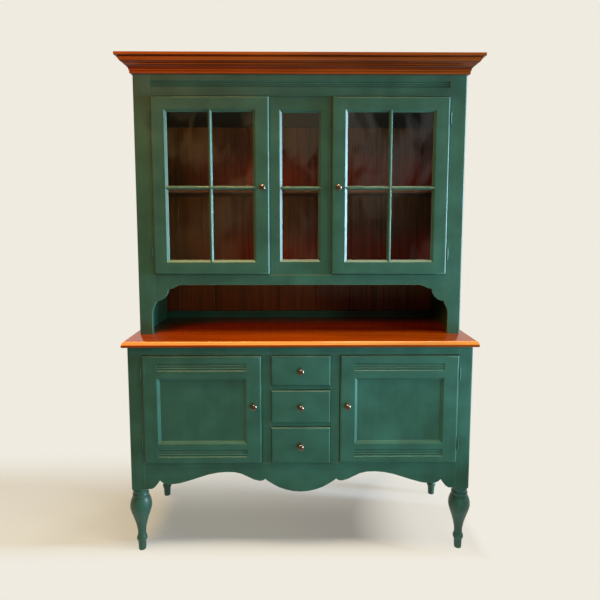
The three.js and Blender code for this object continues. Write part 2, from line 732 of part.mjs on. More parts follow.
// Drawers: name, underside and top of the opening
const DRAWERS = [
  ["top_drawer", UPPER_RAIL_TOP, BASE_OPENING_TOP],
  ["middle_drawer", LOWER_RAIL_TOP, UPPER_RAIL_UNDERSIDE],
  ["bottom_drawer", BASE_OPENING_BOTTOM, LOWER_RAIL_UNDERSIDE],
];
const DRAWER_FRONT_HALF = DRAWER_OPENING_HALF - LEAF_GAP;
const DRAWER_BOX_HALF = DRAWER_FRONT_HALF - DRAWER_BOX_PLAY;

function drawerBox(bottom, top) {
  const z0 = bottom + DRAWER_LIFT;
  const z1 = top - DRAWER_BOX_HEADROOM;
  const backY = LOWER_LEAF_BACK_Y + DRAWER_BOX_LENGTH;
  const outer = board(-DRAWER_BOX_HALF, DRAWER_BOX_HALF, LOWER_LEAF_BACK_Y, backY, z0, z1);
  const innerHalf = DRAWER_BOX_HALF - DRAWER_SIDE_THICKNESS;
  const hollow = board(
    -innerHalf,
    innerHalf,
    LOWER_LEAF_BACK_Y + DRAWER_SIDE_THICKNESS,
    backY - DRAWER_SIDE_THICKNESS,
    z0 + DRAWER_BOTTOM_THICKNESS,
    z1 + DRAWER_BOX_HEADROOM,
  );
  return cut(outer, [hollow]);
}

for (const [name, bottom, top] of DRAWERS) {
  const rect = [-DRAWER_FRONT_HALF, DRAWER_FRONT_HALF, bottom + LEAF_GAP, top - LEAF_GAP];
  addNode(name + "_front", roundedLeaf(rect, LOWER_LEAF_Y, LOWER_LEAF_BACK_Y), GREEN_PAINT);
  addNode(name + "_box", drawerBox(bottom, top), BARE_WOOD);
  addNode(name + "_knob", knob(0, LOWER_LEAF_Y, (bottom + top) / 2), PEWTER);
}

// Upper case
const UPPER_FRAME_BACK_Y = UPPER_FACE_Y + FACE_FRAME_THICKNESS;
addPair((sign) => {
  const [x0, x1] = span(sign, UPPER_INNER_HALF, UPPER_HALF);
  const made = board(x0, x1, UPPER_FRAME_BACK_Y, BACK_Y, COUNTER_TOP_HEIGHT, UPPER_CASE_TOP);
  return ["upper_SIDE_side", made, GREEN_PAINT];
});

// The stile's outer front edge is rounded, and below the scallop its inner edge steps outwards
addPair((sign) => {
  const points = stileOutline(sign, UPPER_OPENING_HALF, UPPER_HALF, UPPER_FACE_Y, UPPER_FRAME_BACK_Y);
  const whole = uprightPrism(points, COUNTER_TOP_HEIGHT, UPPER_CASE_TOP);
  const curve = STILE_SCALLOP_SHARES.map(([reach, drop]) => [
    UPPER_OPENING_HALF + reach * STILE_SCALLOP_REACH,
    SCALLOP_END_HEIGHT - drop * STILE_SCALLOP_DROP,
  ]);
  const nearX = UPPER_OPENING_HALF - CUT_OVERRUN;
  const below = COUNTER_TOP_HEIGHT - CUT_OVERRUN;
  const notch = [
    [nearX, below],
    [UPPER_OPENING_HALF + STILE_SCALLOP_REACH, below],
    ...curve.reverse(),
    [UPPER_OPENING_HALF, SCALLOP_END_HEIGHT],
    [nearX, SCALLOP_END_HEIGHT],
  ];
  const shape = sign < 0 ? mirrored(notch).reverse() : notch;
  const cutter = frontPrism(shape, UPPER_FACE_Y - CUT_OVERRUN, UPPER_FRAME_BACK_Y + CUT_OVERRUN);
  return ["upper_SIDE_stile", cut(whole, [cutter]), GREEN_PAINT];
});

const friezeEnd = UPPER_OPENING_HALF - FRIEZE_FLUTE_END;
const friezeFluteTop = CORNICE_UNDERSIDE - FRIEZE_FLUTE_DROP;
addNode(
  "frieze_rail",
  cut(
    board(
      -UPPER_OPENING_HALF,
      UPPER_OPENING_HALF,
      UPPER_FACE_Y,
      UPPER_FRAME_BACK_Y,
      UPPER_OPENING_TOP,
      UPPER_CASE_TOP,
    ),
    [fluteCutter(-friezeEnd, friezeEnd, friezeFluteTop, FRIEZE_FLUTE_BAND, UPPER_FACE_Y)],
  ),
  GREEN_PAINT,
);

const scallopEdge = SCALLOP_EDGE_SHARES.map(([across, down]) => [
  across * UPPER_OPENING_HALF,
  UPPER_OPENING_BOTTOM - down * SCALLOP_DEPTH,
]);
const scallopOutline = [
  [-UPPER_OPENING_HALF, UPPER_OPENING_BOTTOM],
  [-UPPER_OPENING_HALF, SCALLOP_END_HEIGHT],
  ...mirrored(scallopEdge),
  ...[...scallopEdge].reverse(),
  [UPPER_OPENING_HALF, SCALLOP_END_HEIGHT],
  [UPPER_OPENING_HALF, UPPER_OPENING_BOTTOM],
];
addNode("scalloped_rail", frontPrism(scallopOutline, UPPER_FACE_Y, UPPER_FRAME_BACK_Y), GREEN_PAINT);

function upperBoard(frontY, backY, z0, z1) {
  return board(-UPPER_INNER_HALF, UPPER_INNER_HALF, frontY, backY, z0, z1);
}

const CEILING_TOP = CEILING_HEIGHT + SHELF_THICKNESS;
const UPPER_FLOOR_UNDERSIDE = UPPER_OPENING_BOTTOM - SHELF_THICKNESS;
const SHELF_UNDERSIDE = SHELF_HEIGHT - SHELF_THICKNESS;
const SHELF_FRONT_Y = UPPER_FRAME_BACK_Y + SHELF_SETBACK;
addNode(
  "upper_ceiling",
  upperBoard(UPPER_FRAME_BACK_Y, BACK_BOARD_Y, CEILING_HEIGHT, CEILING_TOP),
  DARK_PAINT,
);
addNode("upper_shelf", upperBoard(SHELF_FRONT_Y, BACK_BOARD_Y, SHELF_UNDERSIDE, SHELF_HEIGHT), BROWN_STAIN);
addNode(
  "upper_floor",
  upperBoard(UPPER_FRAME_BACK_Y, BACK_BOARD_Y, UPPER_FLOOR_UNDERSIDE, UPPER_OPENING_BOTTOM),
  BROWN_STAIN,
);
const BACK_RAIL_TOP = COUNTER_TOP_HEIGHT + BACK_RAIL_HEIGHT;
addNode(
  "niche_back_rail",
  upperBoard(BACK_BOARD_Y - BACK_RAIL_THICKNESS, BACK_BOARD_Y, COUNTER_TOP_HEIGHT, BACK_RAIL_TOP),
  GREEN_PAINT,
);

// Back of grooved boards: an outline in X and Y with a V groove at each joint, one board in the middle
function backOutline() {
  const points = [[UPPER_INNER_HALF, BACK_BOARD_Y], [UPPER_INNER_HALF, BACK_Y]];
  points.push([-UPPER_INNER_HALF, BACK_Y], [-UPPER_INNER_HALF, BACK_BOARD_Y]);
  const room = UPPER_INNER_HALF - BACK_GROOVE_WIDTH;
  const grooves = 2 * Math.floor(room / BACK_GROOVE_PITCH + 1 / 2);
  for (let i = 0; i < grooves; i += 1) {
    const middle = (i - (grooves - 1) / 2) * BACK_GROOVE_PITCH;
    points.push([middle - BACK_GROOVE_WIDTH / 2, BACK_BOARD_Y]);
    points.push([middle, BACK_BOARD_Y + BACK_GROOVE_DEPTH]);
    points.push([middle + BACK_GROOVE_WIDTH / 2, BACK_BOARD_Y]);
  }
  return points;
}

addNode("upper_back_boards", uprightPrism(backOutline(), COUNTER_TOP_HEIGHT, UPPER_CASE_TOP), BROWN_STAIN);

// Glazed leaf: the lights are cut with a bevel, and the glass lies behind in one rebate
const BAR_SPAN = BAR_WIDTH / 2;
function glazedFrame(blank, lights, sight, frontY, backY) {
  const cutters = lights.map((light) => lightCutter(light, sight, frontY, backY));
  const rebate = grown(sight, SASH_REBATE_WIDTH);
  cutters.push(rectBoard(rebate, frontY + SASH_FRONT_DEPTH, backY + CUT_OVERRUN));
  return cut(blank, cutters);
}

// One light: its bevel is wide along the frame and narrow along a glazing bar
function lightCutter(light, sight, frontY, backY) {
  const bevels = light.map((edge, index) => (edge === sight[index] ? SASH_BEVEL_WIDTH : BAR_BEVEL_WIDTH));
  const signs = [-1, 1, -1, 1];
  const reach = (SASH_BEVEL_DEPTH + CUT_OVERRUN) / SASH_BEVEL_DEPTH;
  const wide = light.map((edge, index) => edge + signs[index] * bevels[index] * reach);
  return loft([
    frontRing(light, 0, backY + CUT_OVERRUN),
    frontRing(light, 0, frontY + SASH_BEVEL_DEPTH),
    frontRing(wide, 0, frontY - CUT_OVERRUN),
  ]);
}

function glassPane(sight, frontY) {
  const y = frontY + SASH_FRONT_DEPTH;
  return rectBoard(grown(sight, SASH_REBATE_WIDTH - GLASS_PLAY), y, y + GLASS_THICKNESS);
}

// Middle light, fixed between the doors and set a little behind the face frame
const MIDDLE_Y = UPPER_FACE_Y + MIDDLE_LIGHT_RECESS;
const MIDDLE_SIGHT_HALF = MIDDLE_LIGHT_HALF - MIDDLE_STILE_WIDTH - SASH_BEVEL_WIDTH;
const MIDDLE_SIGHT = [
  -MIDDLE_SIGHT_HALF,
  MIDDLE_SIGHT_HALF,
  UPPER_OPENING_BOTTOM + MIDDLE_RAIL_WIDTH + SASH_BEVEL_WIDTH,
  UPPER_OPENING_TOP - MIDDLE_RAIL_WIDTH - SASH_BEVEL_WIDTH,
];
const middleBlank = board(
  -MIDDLE_LIGHT_HALF,
  MIDDLE_LIGHT_HALF,
  MIDDLE_Y,
  UPPER_FRAME_BACK_Y,
  UPPER_OPENING_BOTTOM,
  UPPER_OPENING_TOP,
);
const middleLights = [
  [MIDDLE_SIGHT[0], MIDDLE_SIGHT[1], MIDDLE_SIGHT[2], BAR_HEIGHT - BAR_SPAN],
  [MIDDLE_SIGHT[0], MIDDLE_SIGHT[1], BAR_HEIGHT + BAR_SPAN, MIDDLE_SIGHT[3]],
];
addNode(
  "middle_light_frame",
  glazedFrame(middleBlank, middleLights, MIDDLE_SIGHT, MIDDLE_Y, UPPER_FRAME_BACK_Y),
  GREEN_PAINT,
);
addNode("middle_light_glass", glassPane(MIDDLE_SIGHT, MIDDLE_Y), GLASS);

// Upper doors
const UPPER_LEAF_Y = UPPER_FACE_Y - LEAF_STAND_OUT;
const UPPER_LEAF_BACK_Y = UPPER_LEAF_Y + LEAF_THICKNESS;
const UPPER_DOOR_OUTER_EDGE = UPPER_OPENING_HALF - LEAF_GAP;
const UPPER_DOOR_INNER_EDGE = MIDDLE_LIGHT_HALF + LEAF_GAP;
const UPPER_DOOR_TOP = UPPER_OPENING_TOP - LEAF_GAP;
const UPPER_DOOR_BOTTOM = UPPER_OPENING_BOTTOM + LEAF_GAP;

function upperSight(sign) {
  const margin = SASH_STILE_WIDTH + SASH_BEVEL_WIDTH;
  const rise = SASH_RAIL_WIDTH + SASH_BEVEL_WIDTH;
  const [x0, x1] = span(sign, UPPER_DOOR_INNER_EDGE + margin, UPPER_DOOR_OUTER_EDGE - margin);
  return [x0, x1, UPPER_DOOR_BOTTOM + rise, UPPER_DOOR_TOP - rise];
}

addPair((sign) => {
  const [x0, x1] = span(sign, UPPER_DOOR_INNER_EDGE, UPPER_DOOR_OUTER_EDGE);
  const blank = roundedLeaf([x0, x1, UPPER_DOOR_BOTTOM, UPPER_DOOR_TOP], UPPER_LEAF_Y, UPPER_LEAF_BACK_Y);
  const sight = upperSight(sign);
  const middleX = (x0 + x1) / 2;
  const columns = [[sight[0], middleX - BAR_SPAN], [middleX + BAR_SPAN, sight[1]]];
  const rows = [[sight[2], BAR_HEIGHT - BAR_SPAN], [BAR_HEIGHT + BAR_SPAN, sight[3]]];
  const lights = columns.flatMap((column) => rows.map((row) => [...column, ...row]));
  return [
    "upper_SIDE_door_sash",
    glazedFrame(blank, lights, sight, UPPER_LEAF_Y, UPPER_LEAF_BACK_Y),
    GREEN_PAINT,
  ];
});

addPair((sign) => ["upper_SIDE_door_glass", glassPane(upperSight(sign), UPPER_LEAF_Y), GLASS]);

addPair((sign) => {
  const x = sign * (UPPER_DOOR_INNER_EDGE + UPPER_KNOB_INSET);
  return ["upper_SIDE_door_knob", knob(x, UPPER_LEAF_Y, BAR_HEIGHT), PEWTER];
});

const UPPER_HINGES = [
  ["lower", UPPER_DOOR_BOTTOM + UPPER_HINGE_INSET],
  ["upper", UPPER_DOOR_TOP - UPPER_HINGE_INSET],
];
UPPER_HINGES.forEach(([place, height]) => {
  addPair((sign) => {
    const made = hinge(sign, UPPER_DOOR_OUTER_EDGE, UPPER_FACE_Y, height);
    return ["upper_SIDE_door_hinge_" + place, made, PAINTED_HINGE];
  });
});

// Cornice: one moulding mitred round the front and both sides, open at the back
function corniceRing(end) {
  return CORNICE_PROFILE_SHARES.map(([projectionShare, riseShare]) => {
    const projection = projectionShare * CORNICE_PROJECTION;
    const x = UPPER_HALF + projection;
    const y = end.back ? BACK_Y : UPPER_FACE_Y - projection;
    return [end.sign * x, y, CORNICE_UNDERSIDE + riseShare * CORNICE_HEIGHT];
  });
}

function cornice() {
  const ends = [
    { sign: -1, back: true },
    { sign: -1, back: false },
    { sign: 1, back: false },
    { sign: 1, back: true },
  ];
  const rings = ends.map(corniceRing);
  const count = CORNICE_PROFILE_SHARES.length;
  const faces = [];
  for (let i = 0; i + 1 < rings.length; i += 1) {
    for (let j = 0; j < count; j += 1) {
      const a = i * count + j;
      const b = i * count + ((j + 1) % count);
      faces.push(a, b + count, b, a, a + count, b + count);
    }
  }
  const section = CORNICE_PROFILE_SHARES.map(([across, up]) => new THREE.Vector2(across, up));
  const last = (rings.length - 1) * count;
  for (const [a, b, c] of THREE.ShapeUtils.triangulateShape(section, [])) {
    faces.push(a, b, c, last + a, last + c, last + b);
  }
  const geometry = new THREE.BufferGeometry();
  geometry.setAttribute("position", new THREE.Float32BufferAttribute(rings.flat(2), 3));
  geometry.setIndex(faces);
  return geometry;
}

addNode("cornice", cornice(), CORNICE_STAIN);

export default root;
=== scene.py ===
# Step back cupboard: a shallow glazed upper case stands back on a deeper base case with doors and drawers.
# Lengths are in metres and +Z is up. The front faces -Y, and left and right are as seen from the front.
import json
import math

import bmesh
import bpy
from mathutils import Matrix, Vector

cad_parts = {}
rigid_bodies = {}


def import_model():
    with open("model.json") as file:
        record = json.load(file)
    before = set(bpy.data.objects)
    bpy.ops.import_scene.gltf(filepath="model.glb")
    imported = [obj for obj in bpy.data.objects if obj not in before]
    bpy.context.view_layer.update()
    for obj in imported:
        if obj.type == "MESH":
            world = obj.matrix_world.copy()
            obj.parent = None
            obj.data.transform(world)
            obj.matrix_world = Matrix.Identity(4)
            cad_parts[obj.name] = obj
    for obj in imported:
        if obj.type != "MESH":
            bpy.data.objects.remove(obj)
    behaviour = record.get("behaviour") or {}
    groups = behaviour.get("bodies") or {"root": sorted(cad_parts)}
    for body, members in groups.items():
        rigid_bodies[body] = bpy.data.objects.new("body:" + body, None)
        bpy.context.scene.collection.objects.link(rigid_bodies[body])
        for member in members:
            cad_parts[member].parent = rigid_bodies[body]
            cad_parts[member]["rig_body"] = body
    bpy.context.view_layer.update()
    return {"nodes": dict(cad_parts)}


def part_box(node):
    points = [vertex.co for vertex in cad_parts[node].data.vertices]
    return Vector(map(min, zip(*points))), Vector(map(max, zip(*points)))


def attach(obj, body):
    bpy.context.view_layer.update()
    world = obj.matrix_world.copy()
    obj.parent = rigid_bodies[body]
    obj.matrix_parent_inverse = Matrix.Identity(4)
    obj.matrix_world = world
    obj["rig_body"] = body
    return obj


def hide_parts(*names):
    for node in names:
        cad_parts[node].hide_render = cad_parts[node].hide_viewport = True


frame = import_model()

# The view
# A camera stands in front of the cupboard at chest height and looks a little down.
# The frame is square, and the shift holds the cupboard where it stands in it.
SENSOR_WIDTH = 36
FRAME_PIXELS = 600
FOCAL_PIXELS = 491.4
SHIFT_PIXELS = (1.0, -33.7)
EYE = (-0.0254, -2.1872, 1.4093)
LOOK_DOWN_RADIANS = 0.095
LEAN_RADIANS = -0.0094
view_data = bpy.data.cameras.new("view")
view_data.sensor_width = SENSOR_WIDTH
view_data.lens = SENSOR_WIDTH * FOCAL_PIXELS / FRAME_PIXELS
view_data.shift_x = SHIFT_PIXELS[0] / FRAME_PIXELS
view_data.shift_y = SHIFT_PIXELS[1] / FRAME_PIXELS
view = bpy.data.objects.new("view", view_data)
view.location = EYE
view.rotation_euler = (math.pi / 2 - LOOK_DOWN_RADIANS, 0, LEAN_RADIANS)
bpy.context.scene.collection.objects.link(view)
bpy.context.scene.camera = view

# Legs
# Four legs turned in a close-grained wood and painted with the case. Each has a square corner block
# above it, glued inside the case. The paint has rubbed off a little on the crests of the rings.
MM = 0.001
LEG_HEIGHT = 290 * MM
LEG_BELLY_RADIUS = 44.6 * MM
LEG_AXIS_X = 680 * MM
LEG_AXES_Y = {"front": -188.5 * MM, "back": 227.5 * MM}
LEG_BLOCK_X = (633 * MM, 683 * MM)
LEG_BLOCKS_Y = {"front": -214.5 * MM, "back": 213.5 * MM}
LEG_BLOCK_WIDTH = 50 * MM
LEG_BLOCK_TOP = 388.5 * MM
# The profile holds shares of the belly's radius and of the height, from the foot up.
LEG_PROFILE_SHARES = [
    (0.314, 0), (0.341, 0.01), (0.359, 0.076), (0.381, 0.124), (0.417, 0.145), (0.448, 0.152),
    (0.484, 0.169), (0.48, 0.19), (0.435, 0.214), (0.381, 0.241), (0.377, 0.276), (0.395, 0.314),
    (0.439, 0.355), (0.507, 0.407), (0.605, 0.462), (0.74, 0.528), (0.865, 0.586), (0.964, 0.641),
    (1, 0.686), (0.978, 0.731), (0.906, 0.776), (0.807, 0.814), (0.726, 0.831), (0.731, 0.848),
    (0.762, 0.866), (0.726, 0.883), (0.673, 0.897), (0.717, 0.924), (0.731, 0.952), (0.695, 0.986),
    (0.682, 1),
]
LEG_RING_SHARES = (0.169, 0.866, 0.952)
LEG_RUB = 0.75
LEG_RUB_REACH_SHARE = 0.02
LEG_SIDES = 72
# A ring no wider than this is one point on the axis.
POLE_RADIUS = 0.001 * MM


def faired(points, corner=50, steps=4):
    """A line through the points, curved between its corners, which turn by more than corner degrees."""
    line = [Vector(point) for point in points]
    square = [True] * len(line)
    for i in range(1, len(line) - 1):
        turn = (line[i] - line[i - 1]).angle(line[i + 1] - line[i], 0)
        square[i] = turn > math.radians(corner)
    curve = []
    for i in range(len(line) - 1):
        a, b = line[i], line[i + 1]
        before = 2 * a - b if square[i] else line[i - 1]
        after = 2 * b - a if square[i + 1] else line[i + 2]
        for step in range(steps):
            t = step / steps
            bend = (2 * before - 5 * a + 4 * b - after) * t * t
            twist = (3 * a - before - 3 * b + after) * t ** 3
            curve.append((2 * a + (b - before) * t + bend + twist) / 2)
    return curve + [line[-1]]


def turn_on_lathe(shape, profile, sides, place, wear_and_highlight_share=lambda height: 0):
    """Adds a turned shell. The profile is (radius, height) from one pole to the other."""
    wear_and_highlight = shape.verts.layers.float.get("wear_and_highlight") or shape.verts.layers.float.new("wear_and_highlight")
    rings = []
    for radius, height in profile:
        ring = []
        for i in range(sides if radius > POLE_RADIUS else 1):
            angle = 2 * math.pi * i / sides
            point = shape.verts.new(place(radius * math.cos(angle), radius * math.sin(angle), height))
            point[wear_and_highlight] = wear_and_highlight_share(height)
            ring.append(point)
        rings.append(ring)
    for low, high in zip(rings, rings[1:]):
        for i in range(sides):
            j = (i + 1) % sides
            corners = [low[i % len(low)], low[j % len(low)], high[j % len(high)], high[i % len(high)]]
            shape.faces.new(list(dict.fromkeys(corners)))


def add_block(shape, low, high):
    """Adds a squared block between two corners."""
    for vert in bmesh.ops.create_cube(shape, size=1)["verts"]:
        vert.co = Vector([low[i] if vert.co[i] < 0 else high[i] for i in range(3)])


def piece_of(shape, name, corner=35):
    """Makes a finished mesh an object, smooth where it curves and sharp where it turns by corner degrees."""
    shape.normal_update()
    for face in shape.faces:
        face.smooth = True
    for edge in shape.edges:
        edge.smooth = len(edge.link_faces) == 2 and edge.calc_face_angle() < math.radians(corner)
    mesh = bpy.data.meshes.new(name)
    shape.to_mesh(mesh)
    shape.free()
    piece = bpy.data.objects.new(name, mesh)
    bpy.context.scene.collection.objects.link(piece)
    return piece


def fit_piece(piece, material, node):
    """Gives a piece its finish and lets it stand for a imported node, on the body that it moves with."""
    piece.data.materials.clear()
    piece.data.materials.append(material)
    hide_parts(node)
    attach(piece, frame["nodes"][node]["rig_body"])


def linear(code):
    """Turns an sRGB hex colour into linear light."""
    shares = [int(code[i:i + 2], 16) / 255 for i in (1, 3, 5)]
    return [s / 12.92 if s <= 0.04045 else ((s + 0.055) / 1.055) ** 2.4 for s in shares] + [1]


def add(tree, kind, inputs=None, **settings):
    """Adds a node with its settings; an input takes a value or a link from another node's socket."""
    made = tree.nodes.new(kind)
    for name, value in settings.items():
        setattr(made, name, value)
    for socket, value in (inputs or {}).items():
        if isinstance(value, bpy.types.NodeSocket):
            tree.links.new(value, made.inputs[socket])
        else:
            made.inputs[socket].default_value = value
    return made


def new_finish(name):
    """A material with its tree and shader, ready for a finish."""
    material = bpy.data.materials.new(name)
    material.use_nodes = True
    return material, material.node_tree, material.node_tree.nodes["Principled BSDF"]


# Satin oil paint, brushed on by hand over pine and waxed: a deep green with fine brush lines along each
# board, drifts of tone as wide as a hand, and a pale undercoat where hands and cloths have rubbed it.
# The same pale colour is laid on bevels and rounds as a painted highlight, where they catch the light.
# Bristle lines are 1 mm apart, too fine for the view, so they are drawn 5 mm apart and 350 mm long.
BRISTLE_GAP = 5 * MM
BRISTLE_RUN = 350 * MM
BRISTLES_UPRIGHT = (1 / BRISTLE_GAP, 1 / BRISTLE_GAP, 1 / BRISTLE_RUN)
BRISTLES_LEVEL = (1 / BRISTLE_RUN, 1 / BRISTLE_GAP, 1 / BRISTLE_GAP)
BRISTLE_DEPTH = 0.15 * MM
HAND_WIDTH = 90 * MM
RUB_PATCH = 12 * MM
DRIFT_CONTRAST = 0.6
LINE_CONTRAST = 0.22
TONE_BASE = 0.09
PAINT_TONES = ((0.3, "#264c3d"), (0.72, "#366655"))
# The pale undercoat colour serves for wear on eased edges and for painted highlights on bevels and rounds.
UNDERCOAT_AND_HIGHLIGHT = "#7f8d6a"
PAINT_AND_WOOD_IOR = 1.5
# Most of a noise lies between these two values.
NOISE_LOW, NOISE_HIGH = 0.3, 0.7
green_paint, tree, shader = new_finish("brushed_green_satin_paint")
place = add(tree, "ShaderNodeTexCoord").outputs["Object"]
brushed = []
for scale in (BRISTLES_UPRIGHT, BRISTLES_LEVEL):
    run = add(tree, "ShaderNodeMapping", {"Vector": place, "Scale": scale}).outputs[0]
    noise = add(tree, "ShaderNodeTexNoise", {"Vector": run, "Scale": 1.0, "Detail": 3.0})
    brushed.append(noise.outputs["Fac"])
# A Mix node takes its share in input 0, and then two numbers in 2 and 3 or two colours in 6 and 7.
# It gives a mixed number in output 0, and a mixed colour in output 2.
is_level = add(tree, "ShaderNodeAttribute", attribute_name="level").outputs["Fac"]
lines = add(tree, "ShaderNodeMix", {0: is_level, 2: brushed[0], 3: brushed[1]}, data_type="FLOAT").outputs[0]
drift = add(tree, "ShaderNodeTexNoise", {"Vector": place, "Scale": 1 / HAND_WIDTH, "Detail": 2.0})
tone = add(tree, "ShaderNodeMath", {0: lines, 1: LINE_CONTRAST, 2: TONE_BASE}, operation="MULTIPLY_ADD")
tone = add(tree, "ShaderNodeMath", {0: drift.outputs["Fac"], 1: DRIFT_CONTRAST, 2: tone.outputs[0]},
           operation="MULTIPLY_ADD")
paint = add(tree, "ShaderNodeValToRGB", {"Fac": tone.outputs[0]})
for stop, (position, colour) in zip(paint.color_ramp.elements, PAINT_TONES):
    stop.position = position
    stop.color = linear(colour)
# The wear is broken up into patches, with the undercoat's straw colour under it. On bevels and rounds this
# pale colour is partly a painted highlight.
patches = add(tree, "ShaderNodeTexNoise", {"Vector": place, "Scale": 1 / RUB_PATCH, "Detail": 5.0,
                                           "Roughness": 0.65}).outputs["Fac"]
wear_and_highlight = add(tree, "ShaderNodeAttribute", attribute_name="wear_and_highlight").outputs["Fac"]
wear_and_highlight_share = add(tree, "ShaderNodeMath", {0: wear_and_highlight, 1: patches}, operation="MULTIPLY")
wear_and_highlight_share = add(tree, "ShaderNodeMapRange", {"Value": wear_and_highlight_share.outputs[0], "From Min": 0.29, "From Max": 0.61,
                                       "To Max": 0.8})
worn_and_lit = add(tree, "ShaderNodeMix", {0: wear_and_highlight_share.outputs[0], 6: paint.outputs["Color"], 7: linear(UNDERCOAT_AND_HIGHLIGHT)},
           data_type="RGBA")
tree.links.new(worn_and_lit.outputs[2], shader.inputs["Base Color"])
sheen = add(tree, "ShaderNodeMapRange", {"Value": lines, "From Min": NOISE_LOW, "From Max": NOISE_HIGH,
                                         "To Min": 0.36, "To Max": 0.44})
tree.links.new(sheen.outputs[0], shader.inputs["Roughness"])
bristles = add(tree, "ShaderNodeBump", {"Height": lines, "Strength": 0.35, "Distance": BRISTLE_DEPTH})
tree.links.new(bristles.outputs[0], shader.inputs["Normal"])
shader.inputs["IOR"].default_value = PAINT_AND_WOOD_IOR

leg_line = faired([(radius * LEG_BELLY_RADIUS, height * LEG_HEIGHT) for radius, height in LEG_PROFILE_SHARES])
leg_line = [(0, 0)] + [tuple(point) for point in leg_line] + [(0, LEG_HEIGHT)]


def leg_rub(height):
    """How far the paint has rubbed off at one height: most on the crest of a ring."""
    nearest = min(abs(height / LEG_HEIGHT - ring) for ring in LEG_RING_SHARES)
    return max(0, LEG_RUB - nearest / LEG_RUB_REACH_SHARE)


for side, sign in (("left", -1), ("right", 1)):
    for end, axis_y in LEG_AXES_Y.items():
        shape = bmesh.new()
        turn_on_lathe(shape, leg_line, LEG_SIDES, lambda a, b, h: (sign * LEG_AXIS_X + a, axis_y + b, h),
                      leg_rub)
        near_x, far_x = sorted(sign * x for x in LEG_BLOCK_X)
        block_y = LEG_BLOCKS_Y[end]
        add_block(shape, (near_x, block_y, LEG_HEIGHT), (far_x, block_y + LEG_BLOCK_WIDTH, LEG_BLOCK_TOP))
        leg = piece_of(shape, "turned_leg_" + end + "_" + side)
        fit_piece(leg, green_paint, "leg_" + end + "_" + side)

# Base case
# Boards of pine, planed and painted green outside: a face frame of stiles and rails, two sides with a
# skirt, a scalloped apron sawn to shape, and the dividers that carry the drawers. Edges are sandpapered.
EDGE_EASING = 1.2 * MM
EASING_STEPS = 3
# A face narrower than this many easings has no room for one beside it.
LEAST_FACE_EASINGS = 2.5
OPEN_CORNER = math.radians(40)
FLAT_CORNER = math.radians(0.5)
# A face whose normal has this share along one axis lies square in the case.
SQUARE_SHARE = 0.97
MERGE_REACH = 0.01 * MM
TOUCH_REACH = 0.05 * MM
boxes = {name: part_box(name) for name in frame["nodes"]}


def meets_neighbour(point, node):
    """True where another board of the same case touches this one, so that the edge stays closed."""
    body = frame["nodes"][node]["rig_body"]
    for other, (low, high) in boxes.items():
        if other != node and frame["nodes"][other]["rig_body"] == body:
            if all(low[i] - TOUCH_REACH < point[i] < high[i] + TOUCH_REACH for i in range(3)):
                return True
    return False


def eased_board(node, level=0, easing=EDGE_EASING, joints=(), slants_worn_and_lit=0.42, edges_worn=1):
    """A copy of a packed board in whole faces, with its open edges eased and marked as rubbed.

    level says that the grain lies level. joints are the two places along X where a frame's rails meet
    its stiles, and the grain lies level between them. The last two say how pale the slanted faces and the
    eased edges are painted: wear on the edges, and on the slants partly wear and partly a painted highlight.
    """
    shape = bmesh.new()
    shape.from_mesh(frame["nodes"][node].data)
    bmesh.ops.remove_doubles(shape, verts=shape.verts, dist=MERGE_REACH)
    for x in joints:
        everything = list(shape.verts) + list(shape.edges) + list(shape.faces)
        bmesh.ops.bisect_plane(shape, geom=everything, dist=MERGE_REACH, plane_co=(x, 0, 0),
                               plane_no=(1, 0, 0))
    for face in shape.faces:
        face.material_index = 1 if joints and joints[0] < face.calc_center_median().x < joints[1] else 0
    bmesh.ops.dissolve_limit(shape, angle_limit=FLAT_CORNER, verts=shape.verts, edges=shape.edges,
                             delimit={"MATERIAL"})
    wear_and_highlight = shape.faces.layers.float.new("wear_and_highlight")
    lies_level = shape.faces.layers.float.new("level")
    for face in shape.faces:
        # Slanted faces, such as bevels and rounds, take the pale tone partly as wear and partly as a painted
        # highlight.
        face[wear_and_highlight] = slants_worn_and_lit if max(abs(value) for value in face.normal) < SQUARE_SHARE else 0
    open_edges = []
    for edge in shape.edges:
        if len(edge.link_faces) == 2 and edge.is_convex and edge.calc_face_angle() > OPEN_CORNER:
            middle = (edge.verts[0].co + edge.verts[1].co) / 2
            widths = [face.calc_area() / edge.calc_length() for face in edge.link_faces]
            if min(widths) > LEAST_FACE_EASINGS * easing and not meets_neighbour(middle, node):
                open_edges.append(edge)
    eased = bmesh.ops.bevel(shape, geom=open_edges, offset=easing, segments=EASING_STEPS, profile=0.5,
                            affect="EDGES")
    for face in eased["faces"]:
        face[wear_and_highlight] = edges_worn
    for face in shape.faces:
        face[lies_level] = 1 if level or face.material_index else 0
        face.material_index = 0
    piece = piece_of(shape, node + "_board", corner=32)
    weights = piece.modifiers.new("flat_faces_stay_flat", "WEIGHTED_NORMAL")
    weights.keep_sharp = True
    flat = bpy.data.meshes.new_from_object(piece.evaluated_get(bpy.context.evaluated_depsgraph_get()))
    piece.modifiers.remove(weights)
    piece.data = flat
    return piece


for node in ("base_left_stile", "base_right_stile", "base_left_side", "base_right_side",
             "drawer_bay_left_divider", "drawer_bay_right_divider"):
    fit_piece(eased_board(node), green_paint, node)
for node in ("base_top_rail", "base_apron", "drawer_rail_upper", "drawer_rail_lower"):
    fit_piece(eased_board(node, level=1), green_paint, node)

# Floor and back of the base case
# Plain pine boards inside the case, planed and left bare, with the grain from side to side.
# They are nailed to the case, and have browned a little.
INSIDE_EASING = 0.6 * MM
ALONG_X, ALONG_Z = 0, 2
# Rings and drifts are this many times as long as they are wide.
RINGS_LONG = 70
DRIFTS_LONG = 4
# The tone of wood is a sum of its rings, its drifts and what its board took of the stain.
RING_WEIGHT, DRIFT_WEIGHT, BOARD_WEIGHT = 0.8, 0.5, 0.12
TONE_START = -0.15
WOOD_RAMP = (0.32, 0.72)
ROUGHNESS_SPREAD = 0.05


